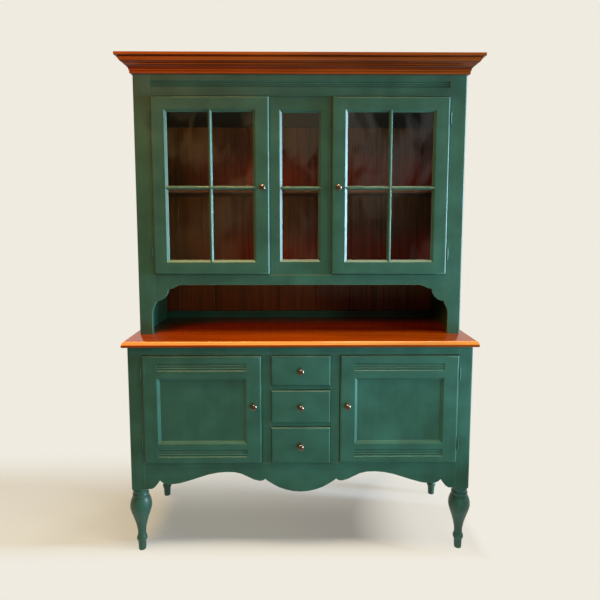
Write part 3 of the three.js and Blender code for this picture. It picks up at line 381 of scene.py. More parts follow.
def pine(name, dark, light, roughness, along, ring_width, drift_width, depth, map_name="", worn_and_lit=""):
    """Flat-sawn pine: long rings along one axis, coloured between dark and light, and paler where the mesh
    marks wear and painted highlight.

    The rings are as far apart as ring_width, and slow drifts of tone lie over them. A finish with a map
    name follows that UV map.
    """
    material, tree, shader = new_finish(name)
    if map_name:
        place = add(tree, "ShaderNodeUVMap", uv_map=map_name).outputs[0]
    else:
        place = add(tree, "ShaderNodeTexCoord").outputs["Object"]
    tone = add(tree, "ShaderNodeAttribute", attribute_name="tone").outputs["Fac"]
    ring_scale = [1 / ring_width / (RINGS_LONG if axis == along else 1) for axis in range(3)]
    drift_scale = [1 / drift_width / (DRIFTS_LONG if axis == along else 1) for axis in range(3)]
    stretched = add(tree, "ShaderNodeMapping", {"Vector": place, "Scale": ring_scale}).outputs[0]
    rings = add(tree, "ShaderNodeTexNoise", {"Vector": stretched, "W": tone, "Scale": 1.0, "Detail": 4.0,
                                             "Roughness": 0.6, "Distortion": 0.4}, noise_dimensions="4D")
    slow = add(tree, "ShaderNodeMapping", {"Vector": place, "Scale": drift_scale}).outputs[0]
    cloud = add(tree, "ShaderNodeTexNoise", {"Vector": slow, "W": tone, "Scale": 1.0, "Detail": 2.0},
                noise_dimensions="4D").outputs["Fac"]
    rings = rings.outputs["Fac"]
    mixed = TONE_START
    for part, weight in ((rings, RING_WEIGHT), (cloud, DRIFT_WEIGHT), (tone, BOARD_WEIGHT)):
        summed = add(tree, "ShaderNodeMath", {0: part, 1: weight, 2: mixed}, operation="MULTIPLY_ADD")
        mixed = summed.outputs[0]
    stain = add(tree, "ShaderNodeValToRGB", {"Fac": mixed})
    for stop, position, colour in zip(stain.color_ramp.elements, WOOD_RAMP, (dark, light)):
        stop.position = position
        stop.color = linear(colour)
    stained = stain.outputs["Color"]
    if worn_and_lit:
        # Wear and painted highlight are never even: they drift between a half and the whole of what the mesh
        # says.
        uneven = add(tree, "ShaderNodeMapRange", {"Value": cloud, "From Min": 0.35, "From Max": 0.6,
                                                  "To Min": 0.5})
        wear_and_highlight = add(tree, "ShaderNodeAttribute", attribute_name="wear_and_highlight").outputs["Fac"]
        wear_and_highlight_share = add(tree, "ShaderNodeMath", {0: wear_and_highlight, 1: uneven.outputs[0]}, operation="MULTIPLY").outputs[0]
        paled = add(tree, "ShaderNodeMix", {0: wear_and_highlight_share, 6: stained, 7: linear(worn_and_lit)}, data_type="RGBA")
        stained = paled.outputs[2]
    tree.links.new(stained, shader.inputs["Base Color"])
    gloss = add(tree, "ShaderNodeMapRange", {
        "Value": rings, "From Min": NOISE_LOW, "From Max": NOISE_HIGH,
        "To Min": roughness - ROUGHNESS_SPREAD, "To Max": roughness + ROUGHNESS_SPREAD,
    })
    tree.links.new(gloss.outputs[0], shader.inputs["Roughness"])
    raised = add(tree, "ShaderNodeBump", {"Height": rings, "Strength": 0.4, "Distance": depth})
    tree.links.new(raised.outputs[0], shader.inputs["Normal"])
    shader.inputs["IOR"].default_value = PAINT_AND_WOOD_IOR
    return material


# Bare planed pine is pale straw and dull, with soft rings 4 mm apart that run on for 280 mm.
bare_pine = pine("bare_planed_pine", "#9c7444", "#cda673", 0.62, ALONG_X, 4 * MM, 160 * MM, 0.15 * MM)
for node in ("base_bottom", "base_back"):
    fit_piece(eased_board(node, level=1, easing=INSIDE_EASING), bare_pine, node)

# Counter top
# One wide top of glued pine, stained orange-brown and varnished, screwed on from below. Its front and both
# ends are moulded: a half round below, a small step, and an eased top edge. That edge is painted paler,
# partly for wear from hands and partly as a painted highlight where it catches the light from above.
COUNTER_HALF = 721 * MM
COUNTER_FRONT_Y = -254.5 * MM
COUNTER_BACK_Y = 273.5 * MM
COUNTER_UNDERSIDE = 896.5 * MM
COUNTER_THICKNESS = 24 * MM
COUNTER_INSET = 11 * MM
# The edge holds shares of the inset and of the thickness, and it is painted paler between two such heights.
COUNTER_EDGE_SHARES = [
    (0.227, 0), (0, 0.125), (0, 0.458), (0.2, 0.625), (0.273, 0.75), (0.591, 0.933), (1, 1),
]
COUNTER_WEAR_AND_HIGHLIGHT_SHARES = (0.45, 0.98)
# Varnish over an orange-brown stain is deep and glossy, so it mirrors what stands behind it at a low angle.
# Its pale edge colour is partly wear and partly a painted highlight.
counter_pine = pine("varnished_orange_stained_pine", "#682603", "#9a4403", 0.13, ALONG_X, 7 * MM, 180 * MM,
                    0.06 * MM, worn_and_lit="#e09848")
edge_points = [(inset * COUNTER_INSET, height * COUNTER_THICKNESS) for inset, height in COUNTER_EDGE_SHARES]
section = faired(edge_points, corner=60)
shape = bmesh.new()
wear_and_highlight = shape.faces.layers.float.new("wear_and_highlight")
rings = []
for inset, height in section:
    x, y, z = COUNTER_HALF - inset, COUNTER_FRONT_Y + inset, COUNTER_UNDERSIDE + height
    corners = ((-x, y), (x, y), (x, COUNTER_BACK_Y), (-x, COUNTER_BACK_Y))
    rings.append([shape.verts.new((a, b, z)) for a, b in corners])
for low, high, (_, height) in zip(rings, rings[1:], section):
    for i in range(4):
        j = (i + 1) % 4
        face = shape.faces.new((low[i], low[j], high[j], high[i]))
        face[wear_and_highlight] = COUNTER_WEAR_AND_HIGHLIGHT_SHARES[0] < height / COUNTER_THICKNESS < COUNTER_WEAR_AND_HIGHLIGHT_SHARES[1]
shape.faces.new(rings[0][::-1])
shape.faces.new(rings[-1])
fit_piece(piece_of(shape, "moulded_counter"), counter_pine, "counter_top")

# Lower doors
# Frames of pine with flat panels, painted with the case. Reeds are run along both rails with a scratch
# stock, a bevel runs round the panel, and the outer edge is rounded over where it stands out of the case.
LOWER_STILE_WIDTH = 60.5 * MM
FRONT_EASING = 0.8 * MM
for side in ("left", "right"):
    node = "lower_" + side + "_door_frame"
    low, high = boxes[node]
    joints = (low.x + LOWER_STILE_WIDTH, high.x - LOWER_STILE_WIDTH)
    door_frame = eased_board(node, easing=FRONT_EASING, joints=joints, edges_worn=0.5)
    fit_piece(door_frame, green_paint, node)
    panel = "lower_" + side + "_door_panel"
    fit_piece(eased_board(panel), green_paint, panel)

# Drawers
# Three solid fronts, rounded over like the doors and painted, each on an open box of bare pine.
# The boxes run between the two dividers of the base.
for drawer in ("top_drawer", "middle_drawer", "bottom_drawer"):
    front, box = drawer + "_front", drawer + "_box"
    fit_piece(eased_board(front, level=1, easing=FRONT_EASING), green_paint, front)
    fit_piece(eased_board(box, level=1, easing=FRONT_EASING), bare_pine, box)

# Upper case
# Painted pine: two sides, two face stiles that are cut away towards the counter, the reeded frieze rail
# over the doors and the scalloped rail over the niche, with a low rail along the foot of the back.
for node in ("upper_left_side", "upper_right_side", "upper_left_stile", "upper_right_stile"):
    fit_piece(eased_board(node), green_paint, node)
for node, edges_worn in (("frieze_rail", 0.4), ("scalloped_rail", 1), ("niche_back_rail", 1)):
    rail = eased_board(node, level=1, slants_worn_and_lit=0, edges_worn=edges_worn)
    fit_piece(rail, green_paint, node)

# Back boards
# Boards set upright side by side and nailed on behind the upper case, each with chamfered edges that make
# a V at the joint. They are stained a deep red-brown and oiled, and no two took the stain alike.
BACK_BOARD_WIDTH = 170 * MM
BACK_BOARD_COUNT = 9
BACK_FRONT_Y = 263.5 * MM
BACK_BOARD_THICKNESS = 10 * MM
BACK_CHAMFER = 3 * MM
BACK_HALF = 666 * MM
BACK_FOOT = 920.5 * MM
BACK_TOP = 2050 * MM
BACK_SEED = 5
# Oil over a red-brown stain is dark and warm, with a low sheen.
back_pine = pine("oiled_red_brown_stained_pine", "#3e1504", "#96400e", 0.42, ALONG_Z, 9 * MM, 120 * MM,
                 0.25 * MM)

# This tree repeats its object's own mesh in a row, and gives each copy a tone of its own.
row_of_copies = bpy.data.node_groups.new("row_of_copies", "GeometryNodeTree")
for name, kind in (("Geometry", "Geometry"), ("Count", "Int"), ("Step", "Vector"), ("Seed", "Int"),
                   ("Finish", "Material")):
    row_of_copies.interface.new_socket(name, in_out="INPUT", socket_type="NodeSocket" + kind)
row_of_copies.interface.new_socket("Geometry", in_out="OUTPUT", socket_type="NodeSocketGeometry")
given = add(row_of_copies, "NodeGroupInput").outputs
points = add(row_of_copies, "GeometryNodeMeshLine", {"Count": given["Count"], "Offset": given["Step"]},
             mode="OFFSET")
copies = add(row_of_copies, "GeometryNodeInstanceOnPoints", {"Points": points.outputs[0],
                                                             "Instance": given["Geometry"]})
tone = add(row_of_copies, "FunctionNodeRandomValue", {"Seed": given["Seed"]}, data_type="FLOAT")
toned = add(row_of_copies, "GeometryNodeStoreNamedAttribute", {"Geometry": copies.outputs[0], "Name": "tone",
            "Value": tone.outputs[1]}, data_type="FLOAT", domain="INSTANCE")
real = add(row_of_copies, "GeometryNodeRealizeInstances", {"Geometry": toned.outputs[0]})
dressed = add(row_of_copies, "GeometryNodeSetMaterial", {"Geometry": real.outputs[0],
                                                         "Material": given["Finish"]})
add(row_of_copies, "NodeGroupOutput", {"Geometry": dressed.outputs[0]})


def in_a_row(piece, count, step, seed, material):
    """Runs the row on a piece and keeps the result as its plain mesh."""
    row = piece.modifiers.new("row", "NODES")
    row.node_group = row_of_copies
    values = {"Count": count, "Step": step, "Seed": seed, "Finish": material}
    for socket in row_of_copies.interface.items_tree:
        if socket.in_out == "INPUT" and socket.name in values:
            row[socket.identifier] = values[socket.name]
    done = bpy.data.meshes.new_from_object(piece.evaluated_get(bpy.context.evaluated_depsgraph_get()))
    piece.modifiers.remove(row)
    piece.data = done


# One board is made at the left end of the row, and the two outer boards are then ripped to the case's width.
left = -BACK_BOARD_COUNT * BACK_BOARD_WIDTH / 2
right = left + BACK_BOARD_WIDTH
rear_y = BACK_FRONT_Y + BACK_BOARD_THICKNESS
outline = [(left, rear_y), (left, BACK_FRONT_Y + BACK_CHAMFER), (left + BACK_CHAMFER, BACK_FRONT_Y),
           (right - BACK_CHAMFER, BACK_FRONT_Y), (right, BACK_FRONT_Y + BACK_CHAMFER), (right, rear_y)]
shape = bmesh.new()
feet = [shape.verts.new((x, y, BACK_FOOT)) for x, y in outline]
tops = [shape.verts.new((x, y, BACK_TOP)) for x, y in outline]
for i in range(len(outline)):
    j = (i + 1) % len(outline)
    shape.faces.new((feet[i], feet[j], tops[j], tops[i]))
shape.faces.new(feet[::-1])
shape.faces.new(tops)
back = piece_of(shape, "upright_back_boards", corner=20)
in_a_row(back, BACK_BOARD_COUNT, (BACK_BOARD_WIDTH, 0, 0), BACK_SEED, back_pine)
ripped = bmesh.new()
ripped.from_mesh(back.data)
for side in (-1, 1):
    everything = list(ripped.verts) + list(ripped.edges) + list(ripped.faces)
    sawn = bmesh.ops.bisect_plane(ripped, geom=everything, plane_co=(side * BACK_HALF, 0, 0),
                                  plane_no=(side, 0, 0), clear_outer=True)["geom_cut"]
    bmesh.ops.edgeloop_fill(ripped, edges=[part for part in sawn if isinstance(part, bmesh.types.BMEdge)])
ripped.to_mesh(back.data)
ripped.free()
fit_piece(back, back_pine, "upper_back_boards")

# Shelf, floor and ceiling of the upper case
# The shelf and the floor are pine boards, stained brown and oiled, and held between the sides with the
# grain from side to side. The ceiling board is coloured near black, which hides the top.

# Oil over a brown stain has the back's low sheen, but a browner tone.
shelf_pine = pine("oiled_brown_stained_shelf_pine", "#3a1a0b", "#7a3d1a", 0.42, ALONG_X, 7 * MM, 160 * MM,
                  0.2 * MM)
for node in ("upper_shelf", "upper_floor"):
    fit_piece(eased_board(node, level=1), shelf_pine, node)

# Near black, dull, with faint streaks from side to side.
near_black_ceiling, tree, shader = new_finish("near_black_ceiling_finish")
place = add(tree, "ShaderNodeTexCoord").outputs["Object"]
run = add(tree, "ShaderNodeMapping", {"Vector": place, "Scale": BRISTLES_LEVEL}).outputs[0]
streaks = add(tree, "ShaderNodeTexNoise", {"Vector": run, "Scale": 1.0, "Detail": 3.0}).outputs["Fac"]
night = add(tree, "ShaderNodeMix", {0: streaks, 6: linear("#141914"), 7: linear("#232b25")}, data_type="RGBA")
tree.links.new(night.outputs[2], shader.inputs["Base Color"])
shader.inputs["Roughness"].default_value = 0.6
fit_piece(eased_board("upper_ceiling", level=1), near_black_ceiling, "upper_ceiling")

# Glazed doors and middle light
# Sashes of pine with one glazing bar each way, and one across the fixed light between them. A bevel runs
# round every light on the face, and the glass lies behind it in a rebate. Painted with the case.
SASH_STILE_WIDTH = 56 * MM
MIDDLE_STILE_WIDTH = 42 * MM
SASH_EASING = 0.7 * MM
for node, stile in (("upper_left_door_sash", SASH_STILE_WIDTH), ("upper_right_door_sash", SASH_STILE_WIDTH),
                    ("middle_light_frame", MIDDLE_STILE_WIDTH)):
    low, high = boxes[node]
    sash = eased_board(node, easing=SASH_EASING, joints=(low.x + stile, high.x - stile))
    fit_piece(sash, green_paint, node)

# Glass
# Sheets of old drawn window glass, puttied into the sashes, with a gentle wave in both faces, so that what
# they mirror bends.
GLASS_WAVE = 0.28 * MM
GLASS_STEP = 8 * MM
# Ripples 185 mm long run up the sheet, and others 100 mm long run across it. Both bend slowly.
# The first four are in radians a metre, and the bends are in radians.
RIPPLES_UP, RIPPLES_ACROSS = 34, 62
BENDS_ACROSS, BENDS_UP = 9, 13
BEND_OF_UP, BEND_OF_ACROSS = 3.1, 2.2
# No two sheets have the same wave, and the rear face of each is turned on from its front.
SHEET_TURN = 3
REAR_TURN = 1.2
# Soda-lime glass is clear with a breath of green, and sharp in what it mirrors. Lamps shine through it.
window_glass, tree, shader = new_finish("drawn_window_glass")
shader.inputs["Base Color"].default_value = linear("#f1f7f3")
shader.inputs["Roughness"].default_value = 0.02
shader.inputs["IOR"].default_value = 1.5
shader.inputs["Transmission Weight"].default_value = 1.0
clear = add(tree, "ShaderNodeBsdfTransparent", {"Color": linear("#eaf3ee")}).outputs[0]
for_lamps = add(tree, "ShaderNodeLightPath").outputs["Is Shadow Ray"]
lit = add(tree, "ShaderNodeMixShader", {0: for_lamps, 1: shader.outputs[0], 2: clear})
tree.links.new(lit.outputs[0], tree.nodes["Material Output"].inputs["Surface"])


def wave(x, z, turn):
    """The height of the wave in a drawn sheet, from -1 to 1. The turn sets one face apart from the other."""
    up = math.sin(RIPPLES_UP * z + BEND_OF_UP * math.sin(BENDS_ACROSS * x + turn))
    across = math.sin(RIPPLES_ACROSS * x + BEND_OF_ACROSS * math.sin(BENDS_UP * z + turn))
    return up / 2 + across / 2


for node in ("upper_left_door_glass", "upper_right_door_glass", "middle_light_glass"):
    low, high = boxes[node]
    columns = max(2, round((high.x - low.x) / GLASS_STEP))
    rows = max(2, round((high.z - low.z) / GLASS_STEP))
    shape = bmesh.new()
    sheets = []
    front_turn = low.x * SHEET_TURN
    for y, turn, inward in ((low.y, front_turn, 1), (high.y, front_turn + REAR_TURN, -1)):
        sheet = []
        for j in range(rows + 1):
            for i in range(columns + 1):
                x = low.x + (high.x - low.x) * i / columns
                z = low.z + (high.z - low.z) * j / rows
                sheet.append(shape.verts.new((x, y + inward * GLASS_WAVE * (1 + wave(x, z, turn)), z)))
        sheets.append(sheet)
    front, rear = sheets
    width = columns + 1
    for j in range(rows):
        for i in range(columns):
            a = j * width + i
            shape.faces.new((front[a], front[a + 1], front[a + width + 1], front[a + width]))
            shape.faces.new((rear[a], rear[a + width], rear[a + width + 1], rear[a + 1]))
    # The rim runs along the foot, up the right, back along the top and down the left.
    rim = list(range(width)) + [j * width + columns for j in range(1, rows + 1)]
    rim += [rows * width + i for i in range(columns - 1, -1, -1)]
    rim += [j * width for j in range(rows - 1, 0, -1)]
    for a, b in zip(rim, rim[1:] + rim[:1]):
        shape.faces.new((front[b], front[a], rear[a], rear[b]))
    fit_piece(piece_of(shape, node + "_sheet"), window_glass, node)

# Cornice
# A moulding of pine stuck with hollows, rounds and beads, mitred at both front corners and nailed round
# the top of the case, open at the back. Its rounds and crests are painted paler: partly wear from cloths,
# partly painted highlights where they catch the light.
CORNICE_UNDERSIDE = 1998 * MM
CORNICE_HEIGHT = 72 * MM
CORNICE_PROJECTION = 54.5 * MM
UPPER_HALF = 686 * MM
UPPER_FACE_Y = -116.5 * MM
CASE_BACK_Y = 273.5 * MM
# The profile holds shares of the projection and of the height, and the crests, painted paler, lie between two
# heights.
CORNICE_PROFILE_SHARES = [
    (0, 0), (0.092, 0), (0.147, 0.036), (0.158, 0.086), (0.139, 0.139), (0.117, 0.167), (0.193, 0.175),
    (0.193, 0.229), (0.213, 0.292), (0.268, 0.361), (0.356, 0.422), (0.459, 0.464), (0.459, 0.5),
    (0.521, 0.519), (0.617, 0.561), (0.697, 0.619), (0.76, 0.694), (0.8, 0.778), (0.811, 0.814),
    (0.954, 0.828), (1, 0.861), (1, 1), (0, 1),
]
CORNICE_CREST_SHARES = ((0.03, 0.24), (0.465, 0.5), (0.62, 0.78), (0.86, 0.99))
# The three lengths lie this far apart in the grain's map, so that no two show the same wood.
LENGTHS_APART = 3
# Varnish over a red-brown stain is darker than the counter, with a satin gloss along its rounds.
# The paler colour on its crests is partly wear and partly a painted highlight.
cornice_pine = pine("varnished_red_brown_stained_pine", "#3e1202", "#7a3205", 0.2, ALONG_X, 7 * MM, 140 * MM,
                    0.1 * MM, map_name="run", worn_and_lit="#904e14")
outline = [(reach * CORNICE_PROJECTION, height * CORNICE_HEIGHT) for reach, height in CORNICE_PROFILE_SHARES]
section = faired(outline, corner=38)
shape = bmesh.new()
run = shape.loops.layers.uv.new("run")
wear_and_highlight = shape.faces.layers.float.new("wear_and_highlight")
stations = []
for sign, at_back in ((-1, True), (-1, False), (1, False), (1, True)):
    ring = []
    for reach, height in section[:-1]:
        y = CASE_BACK_Y if at_back else UPPER_FACE_Y - reach
        ring.append(shape.verts.new((sign * (UPPER_HALF + reach), y, CORNICE_UNDERSIDE + height)))
    stations.append(ring)
count = len(section) - 1
for k, (near, far) in enumerate(zip(stations, stations[1:])):
    at_front = k == 1
    for j in range(count):
        n = (j + 1) % count
        face = shape.faces.new((near[j], far[j], far[n], near[n]))
        share = (section[j][1] + section[n][1]) / 2 / CORNICE_HEIGHT
        face[wear_and_highlight] = any(low < share < high for low, high in CORNICE_CREST_SHARES)
        for loop in face.loops:
            x, y, z = loop.vert.co
            loop[run].uv = (x, z - y) if at_front else (y + LENGTHS_APART * k, z + abs(x))
shape.faces.new(stations[0][::-1])
shape.faces.new(stations[-1])
bmesh.ops.recalc_face_normals(shape, faces=shape.faces)
fit_piece(piece_of(shape, "mitred_cornice", corner=28), cornice_pine, "cornice")

# Knobs
# Seven knobs, cast in pewter, turned and polished. Each is screwed on from behind.
# Hands have rubbed them bright and left a warm grey patina between.
KNOB_RADIUS = 12.8 * MM
KNOB_LENGTH = 27 * MM
KNOB_SIDES = 40
# The profile holds shares of the radius and of the length, from the foot to the crown.
KNOB_PROFILE_SHARES = [
    (0.703, 0), (0.703, 0.059), (0.469, 0.126), (0.375, 0.259), (0.406, 0.389), (0.703, 0.481),
    (0.938, 0.607), (1, 0.726), (0.906, 0.867), (0.625, 0.963), (0.3, 0.993), (0, 1),
]
# Patinated pewter is a soft mirror, duller where the patina lies in spots 2 mm wide, as on the real metal.
PATINA_SPOT = 2 * MM
knob_metal, tree, shader = new_finish("patinated_pewter")
place = add(tree, "ShaderNodeTexCoord").outputs["Object"]
spots = add(tree, "ShaderNodeTexNoise", {"Vector": place, "Scale": 1 / PATINA_SPOT,
                                         "Detail": 3.0}).outputs["Fac"]
patina = add(tree, "ShaderNodeMix", {0: spots, 6: linear("#6b564c"), 7: linear("#b39c90")}, data_type="RGBA")
tree.links.new(patina.outputs[2], shader.inputs["Base Color"])
dull = add(tree, "ShaderNodeMapRange", {"Value": spots, "From Min": NOISE_LOW, "From Max": NOISE_HIGH,
                                        "To Min": 0.36, "To Max": 0.2})
tree.links.new(dull.outputs[0], shader.inputs["Roughness"])
shader.inputs["Metallic"].default_value = 1.0

knob_line = faired([(radius * KNOB_RADIUS, height * KNOB_LENGTH) for radius, height in KNOB_PROFILE_SHARES],
                   corner=40)
knob_line = [(0, 0)] + [tuple(point) for point in knob_line[:-1]] + [(0, KNOB_LENGTH)]
for node in sorted(frame["nodes"]):
    if node.endswith("_knob"):
        low, high = boxes[node]
        foot = Vector(((low.x + high.x) / 2, high.y, (low.z + high.z) / 2))
        shape = bmesh.new()
        turn_on_lathe(shape, knob_line, KNOB_SIDES, lambda a, b, h: (foot.x + a, foot.y - h, foot.z + b))
        fit_piece(piece_of(shape, node + "_turned", corner=45), knob_metal, node)

# Hinges
# Eight butt hinges of steel, painted over with the case: five knuckles on a pin with a ball at each end,
# and a leaf let into the edge of the door. The paint has worn through to pale lines on the knuckles' rims.
HINGE_RADIUS = 4 * MM
HINGE_LENGTH = 55 * MM
KNUCKLES = 5
KNUCKLE_GAP = 0.4 * MM
KNUCKLE_FOOT = 0.2 * MM
KNUCKLE_SHOULDER = 0.7 * MM
KNUCKLE_RIM_SHARE = 0.86
KNUCKLE_RUB = 0.5
KNUCKLE_SEED = 1
KNUCKLE_SIDES = 24
BALL_HEIGHT = 5 * MM
BALL_RADIUS_SHARE = 0.8
BALL_STEPS = 8
BALL_SIDES = 20
HINGE_LEAF_THICKNESS = 1 * MM
knuckle_length = (HINGE_LENGTH - 2 * BALL_HEIGHT) / KNUCKLES
barrel = [(0, KNUCKLE_FOOT), (KNUCKLE_RIM_SHARE, KNUCKLE_FOOT), (1, KNUCKLE_SHOULDER),
          (1, knuckle_length - KNUCKLE_GAP), (KNUCKLE_RIM_SHARE, knuckle_length), (0, knuckle_length)]
barrel = [(share * HINGE_RADIUS, height) for share, height in barrel]
ball = []
for i in range(BALL_STEPS + 1):
    angle = math.pi * i / BALL_STEPS
    radius = math.sin(angle) * BALL_RADIUS_SHARE * HINGE_RADIUS
    ball.append((radius, (1 - math.cos(angle)) / 2 * BALL_HEIGHT))

for node in sorted(frame["nodes"]):
    if "_hinge_" in node:
        low, high = boxes[node]
        outward = 1 if low.x > 0 else -1
        axis_x = (high.x - HINGE_RADIUS) if outward > 0 else (low.x + HINGE_RADIUS)
        axis_y = low.y + HINGE_RADIUS
        first_z, last_z = low.z + BALL_HEIGHT, high.z - BALL_HEIGHT
        shape = bmesh.new()
        turn_on_lathe(shape, barrel, KNUCKLE_SIDES, lambda a, b, h: (axis_x + a, axis_y + b, first_z + h),
                      lambda height: KNUCKLE_RUB)
        hinge = piece_of(shape, node + "_pinned", corner=30)
        in_a_row(hinge, KNUCKLES, (0, 0, knuckle_length), KNUCKLE_SEED, green_paint)
        shape = bmesh.new()
        shape.from_mesh(hinge.data)
        turn_on_lathe(shape, ball, BALL_SIDES, lambda a, b, h: (axis_x + a, axis_y + b, low.z + h))
        turn_on_lathe(shape, ball, BALL_SIDES, lambda a, b, h: (axis_x + a, axis_y + b, last_z + h))
        edge = low.x if outward > 0 else high.x
        near_x, far_x = sorted((edge, edge + outward * HINGE_LEAF_THICKNESS))
        add_block(shape, (near_x, axis_y, first_z), (far_x, high.y, last_z))
        shape.to_mesh(hinge.data)
        shape.free()
        fit_piece(hinge, green_paint, node)

# Room
# A plain pale floor and backdrop of matt card, which fade into one tone behind the cupboard.
# A tall window far on the right and a soft lamp in front of it give cool light, and two lamps hang above.
# Small lamps fill in: warm ones high on the left, a cool one low in front, and one for the sunlit floor.
CARD = "#efebe0"
FLOOR_HALF = 9
FLOOR_CELLS = 24
# Each row is an axis, where along it the card starts and ends to fade, and how far it fades from and to.
FADES = (
    ("Y", 0.0, 0.72, 0.3, 1.0), ("Y", -0.02, -0.3, 0.0, 1.0), ("X", 0.0, 0.6, 0.0, 0.85),
    ("X", 0.55, 0.82, 0.0, 1.0), ("X", -0.5, -1.5, 0.3, 0.6),
)
floor_card, tree, shader = new_finish("matt_card")
shader.inputs["Roughness"].default_value = 0.9
place = add(tree, "ShaderNodeTexCoord").outputs["Object"]
spot = add(tree, "ShaderNodeSeparateXYZ", {0: place}).outputs
rays = add(tree, "ShaderNodeLightPath").outputs
# The card is pale to the eye and sends little light back up, as the dim floor of a room does.
sight = add(tree, "ShaderNodeMix", {0: rays["Is Camera Ray"], 6: linear("#6f6a60"), 7: linear("#dcdcd6")},
            data_type="RGBA")
tree.links.new(sight.outputs[2], shader.inputs["Base Color"])
# Away from the cupboard the card takes one tone; round its feet it keeps the shadow.
faded = 0.0
for axis, start, end, least, most in FADES:
    fade = add(tree, "ShaderNodeMapRange", {"Value": spot[axis], "From Min": start, "From Max": end,
                                            "To Min": least, "To Max": most}, interpolation_type="SMOOTHSTEP")
    faded = add(tree, "ShaderNodeMath", {0: faded, 1: fade.outputs[0]}, operation="MAXIMUM").outputs[0]
# Glass and gloss see the card only beside and behind the cupboard, because the room in front is dim.
beside = add(tree, "ShaderNodeMapRange", {"Value": spot["Y"], "From Min": -0.8, "From Max": -0.2},
             interpolation_type="SMOOTHSTEP").outputs[0]
mirrored = add(tree, "ShaderNodeMath", {0: rays["Is Glossy Ray"], 1: beside}, operation="MULTIPLY").outputs[0]
seen = add(tree, "ShaderNodeMath", {0: rays["Is Camera Ray"], 1: mirrored}, operation="ADD").outputs[0]
seen = add(tree, "ShaderNodeMath", {0: seen, 1: rays["Is Transmission Ray"]}, operation="ADD", use_clamp=True)
far_seen = add(tree, "ShaderNodeMath", {0: faded, 1: seen.outputs[0]}, operation="MULTIPLY").outputs[0]
card_tone = add(tree, "ShaderNodeEmission", {"Color": linear(CARD), "Strength": 1.0}).outputs[0]
laid = add(tree, "ShaderNodeMixShader", {0: far_seen, 1: shader.outputs[0], 2: card_tone})
tree.links.new(laid.outputs[0], tree.nodes["Material Output"].inputs["Surface"])
shape = bmesh.new()
bmesh.ops.create_grid(shape, x_segments=FLOOR_CELLS, y_segments=FLOOR_CELLS, size=FLOOR_HALF)
floor = piece_of(shape, "card_floor")
floor.data.materials.append(floor_card)

world = bpy.data.worlds.new("room")
bpy.context.scene.world = world
world.use_nodes = True
tree = world.node_tree
tree.nodes.clear()
rays = add(tree, "ShaderNodeLightPath").outputs
fill = add(tree, "ShaderNodeBackground", {"Color": linear("#ffdca0"), "Strength": 0.06}).outputs[0]
# Gloss sees a dim room in front, warm on the left and cool towards the window, and the card behind.
# The room holds patches of shade some 6 degrees wide, so that the waves of the glass show.
PATCH_WIDTH = math.radians(6)
toward = add(tree, "ShaderNodeTexCoord").outputs["Generated"]
aim = add(tree, "ShaderNodeSeparateXYZ", {0: toward}).outputs
patches = add(tree, "ShaderNodeTexNoise", {"Vector": toward, "Scale": 1 / PATCH_WIDTH,
                                           "Detail": 2.0}).outputs["Fac"]
# Each row is a value, where it starts and ends to count, and what it counts for from and to.
rises = {}
for name, value, start, end, least, most in (
        ("coolness", aim["X"], -0.35, 0.5, 0.0, 1.0), ("height", aim["Z"], -0.05, 0.2, 0.45, 1.0),
        ("patches", patches, 0.48, 0.56, 0.15, 1.4), ("behind", aim["Y"], -0.15, 0.25, 0.0, 1.0)):
    rises[name] = add(tree, "ShaderNodeMapRange", {"Value": value, "From Min": start, "From Max": end,
                      "To Min": least, "To Max": most}, interpolation_type="SMOOTHSTEP").outputs[0]
room_tone = add(tree, "ShaderNodeMix", {0: rises["coolness"], 6: linear("#a07c45"), 7: linear("#8b9498")},
                data_type="RGBA").outputs[2]
shade = add(tree, "ShaderNodeMath", {0: rises["patches"], 1: rises["height"]}, operation="MULTIPLY")
room_tone = add(tree, "ShaderNodeVectorMath", {0: room_tone, "Scale": shade.outputs[0]}, operation="SCALE")
card_shown = add(tree, "ShaderNodeMath", {0: rises["behind"], 1: rays["Is Camera Ray"]}, operation="MAXIMUM")
around = add(tree, "ShaderNodeMix", {0: card_shown.outputs[0], 6: room_tone.outputs[0], 7: linear(CARD)},
             data_type="RGBA")
surroundings = add(tree, "ShaderNodeBackground", {"Color": around.outputs[2], "Strength": 1.0}).outputs[0]
shown = rays["Is Camera Ray"]
for ray in ("Is Glossy Ray", "Is Transmission Ray"):
    shown = add(tree, "ShaderNodeMath", {0: shown, 1: rays[ray]}, operation="MAXIMUM").outputs[0]
mixed = add(tree, "ShaderNodeMixShader", {0: shown, 1: fill, 2: surroundings})
add(tree, "ShaderNodeOutputWorld", {"Surface": mixed.outputs[0]})


def soft_lamp(name, size, place, aim, colour, power):
    """A rectangular soft lamp, aimed at a point."""
    light = bpy.data.lights.new(name, "AREA")
    light.shape = "RECTANGLE"
    light.size, light.size_y = size
    light.color = linear(colour)[:3]
    light.energy = power
    lamp = bpy.data.objects.new(name, light)
    lamp.location = place
    lamp.rotation_euler = (Vector(aim) - Vector(place)).to_track_quat("-Z", "Y").to_euler()
    bpy.context.scene.collection.objects.link(lamp)
    return lamp


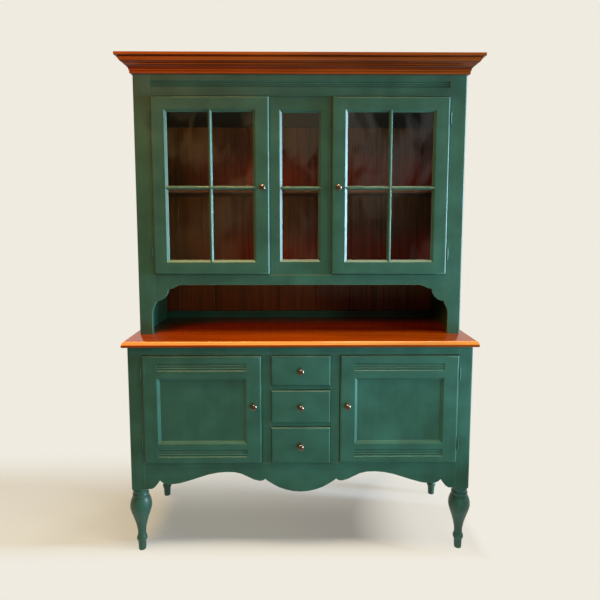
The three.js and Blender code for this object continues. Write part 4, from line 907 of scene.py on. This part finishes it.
soft_lamp("window", (0.6, 3.4), (7, -1.0, 1.7), (0, -0.25, 1.2), "#bedbf8", 1100)
soft_lamp("key", (0.8, 0.9), (3.4, -2.2, 1.45), (0, -0.2, 0.9), "#dbf0e0", 39)
lit_floor = soft_lamp("window_on_floor", (1.5, 0.7), (1.8, -0.7, 0.03), (1.8, -0.7, 1), "#b8dcff", 26)
lit_floor.visible_camera = lit_floor.visible_glossy = False
soft_lamp("warm_overhead", (3.0, 0.7), (-1.5, -1.3, 7.0), (-0.6, -0.2, 1.2), "#ffd488", 260)
soft_lamp("cool_overhead", (3.0, 0.7), (1.5, -1.3, 7.0), (0.6, -0.2, 1.2), "#f6ecd0", 240)
# The small coloured lamps have barn doors, which keep their light off the floor.
off_floor = bpy.data.collections.new("behind_barn_doors")
off_floor.objects.link(floor)
off_floor.collection_objects[0].light_linking.link_state = "EXCLUDE"
SMALL_LAMP_SIZE = (0.9, 0.6)
for name, place, aim, colour, power in (
        ("warm_room", (-0.9, -1.9, 2.6), (-0.1, 0, 1.1), "#ff7828", 14),
        ("warm_left", (-1.9, -1.9, 2.6), (-0.3, -0.1, 1.7), "#ff7c30", 42),
        ("low_sky", (0.4, -2.0, 0.35), (0, -0.25, 0.6), "#64cce0", 21)):
    lamp = soft_lamp(name, SMALL_LAMP_SIZE, place, aim, colour, power)
    lamp.visible_camera = lamp.visible_glossy = lamp.visible_transmission = False
    lamp.light_linking.receiver_collection = off_floor

# A low card of black felt stands on the right, out of sight, and keeps light off the right leg and the
# foot of the stile above it. Felt takes in what light falls on it, so the card throws no tint back.
# Its fibres are too fine for the view and are drawn as specks 3 mm wide.
FLAG_X = 0.8
FLAG_DEPTH = (-0.62, 0.1)
FLAG_HEIGHT = 0.43
FELT_SPECK = 3 * MM
flag_card, tree, shader = new_finish("black_felt_card")
place = add(tree, "ShaderNodeTexCoord").outputs["Object"]
fibres = add(tree, "ShaderNodeTexNoise", {"Vector": place, "Scale": 1 / FELT_SPECK}).outputs["Fac"]
felt = add(tree, "ShaderNodeMix", {0: fibres, 6: linear("#0c0c0c"), 7: linear("#161616")}, data_type="RGBA")
tree.links.new(felt.outputs[2], shader.inputs["Base Color"])
front, rear = FLAG_DEPTH
shape = bmesh.new()
shape.faces.new([shape.verts.new((FLAG_X, y, z)) for y, z in ((front, 0), (rear, 0), (rear, FLAG_HEIGHT),
                                                              (front, FLAG_HEIGHT))])
flag = piece_of(shape, "flag")
flag.data.materials.append(flag_card)
flag.visible_camera = flag.visible_glossy = False
bpy.context.scene.view_settings.view_transform = "Standard"
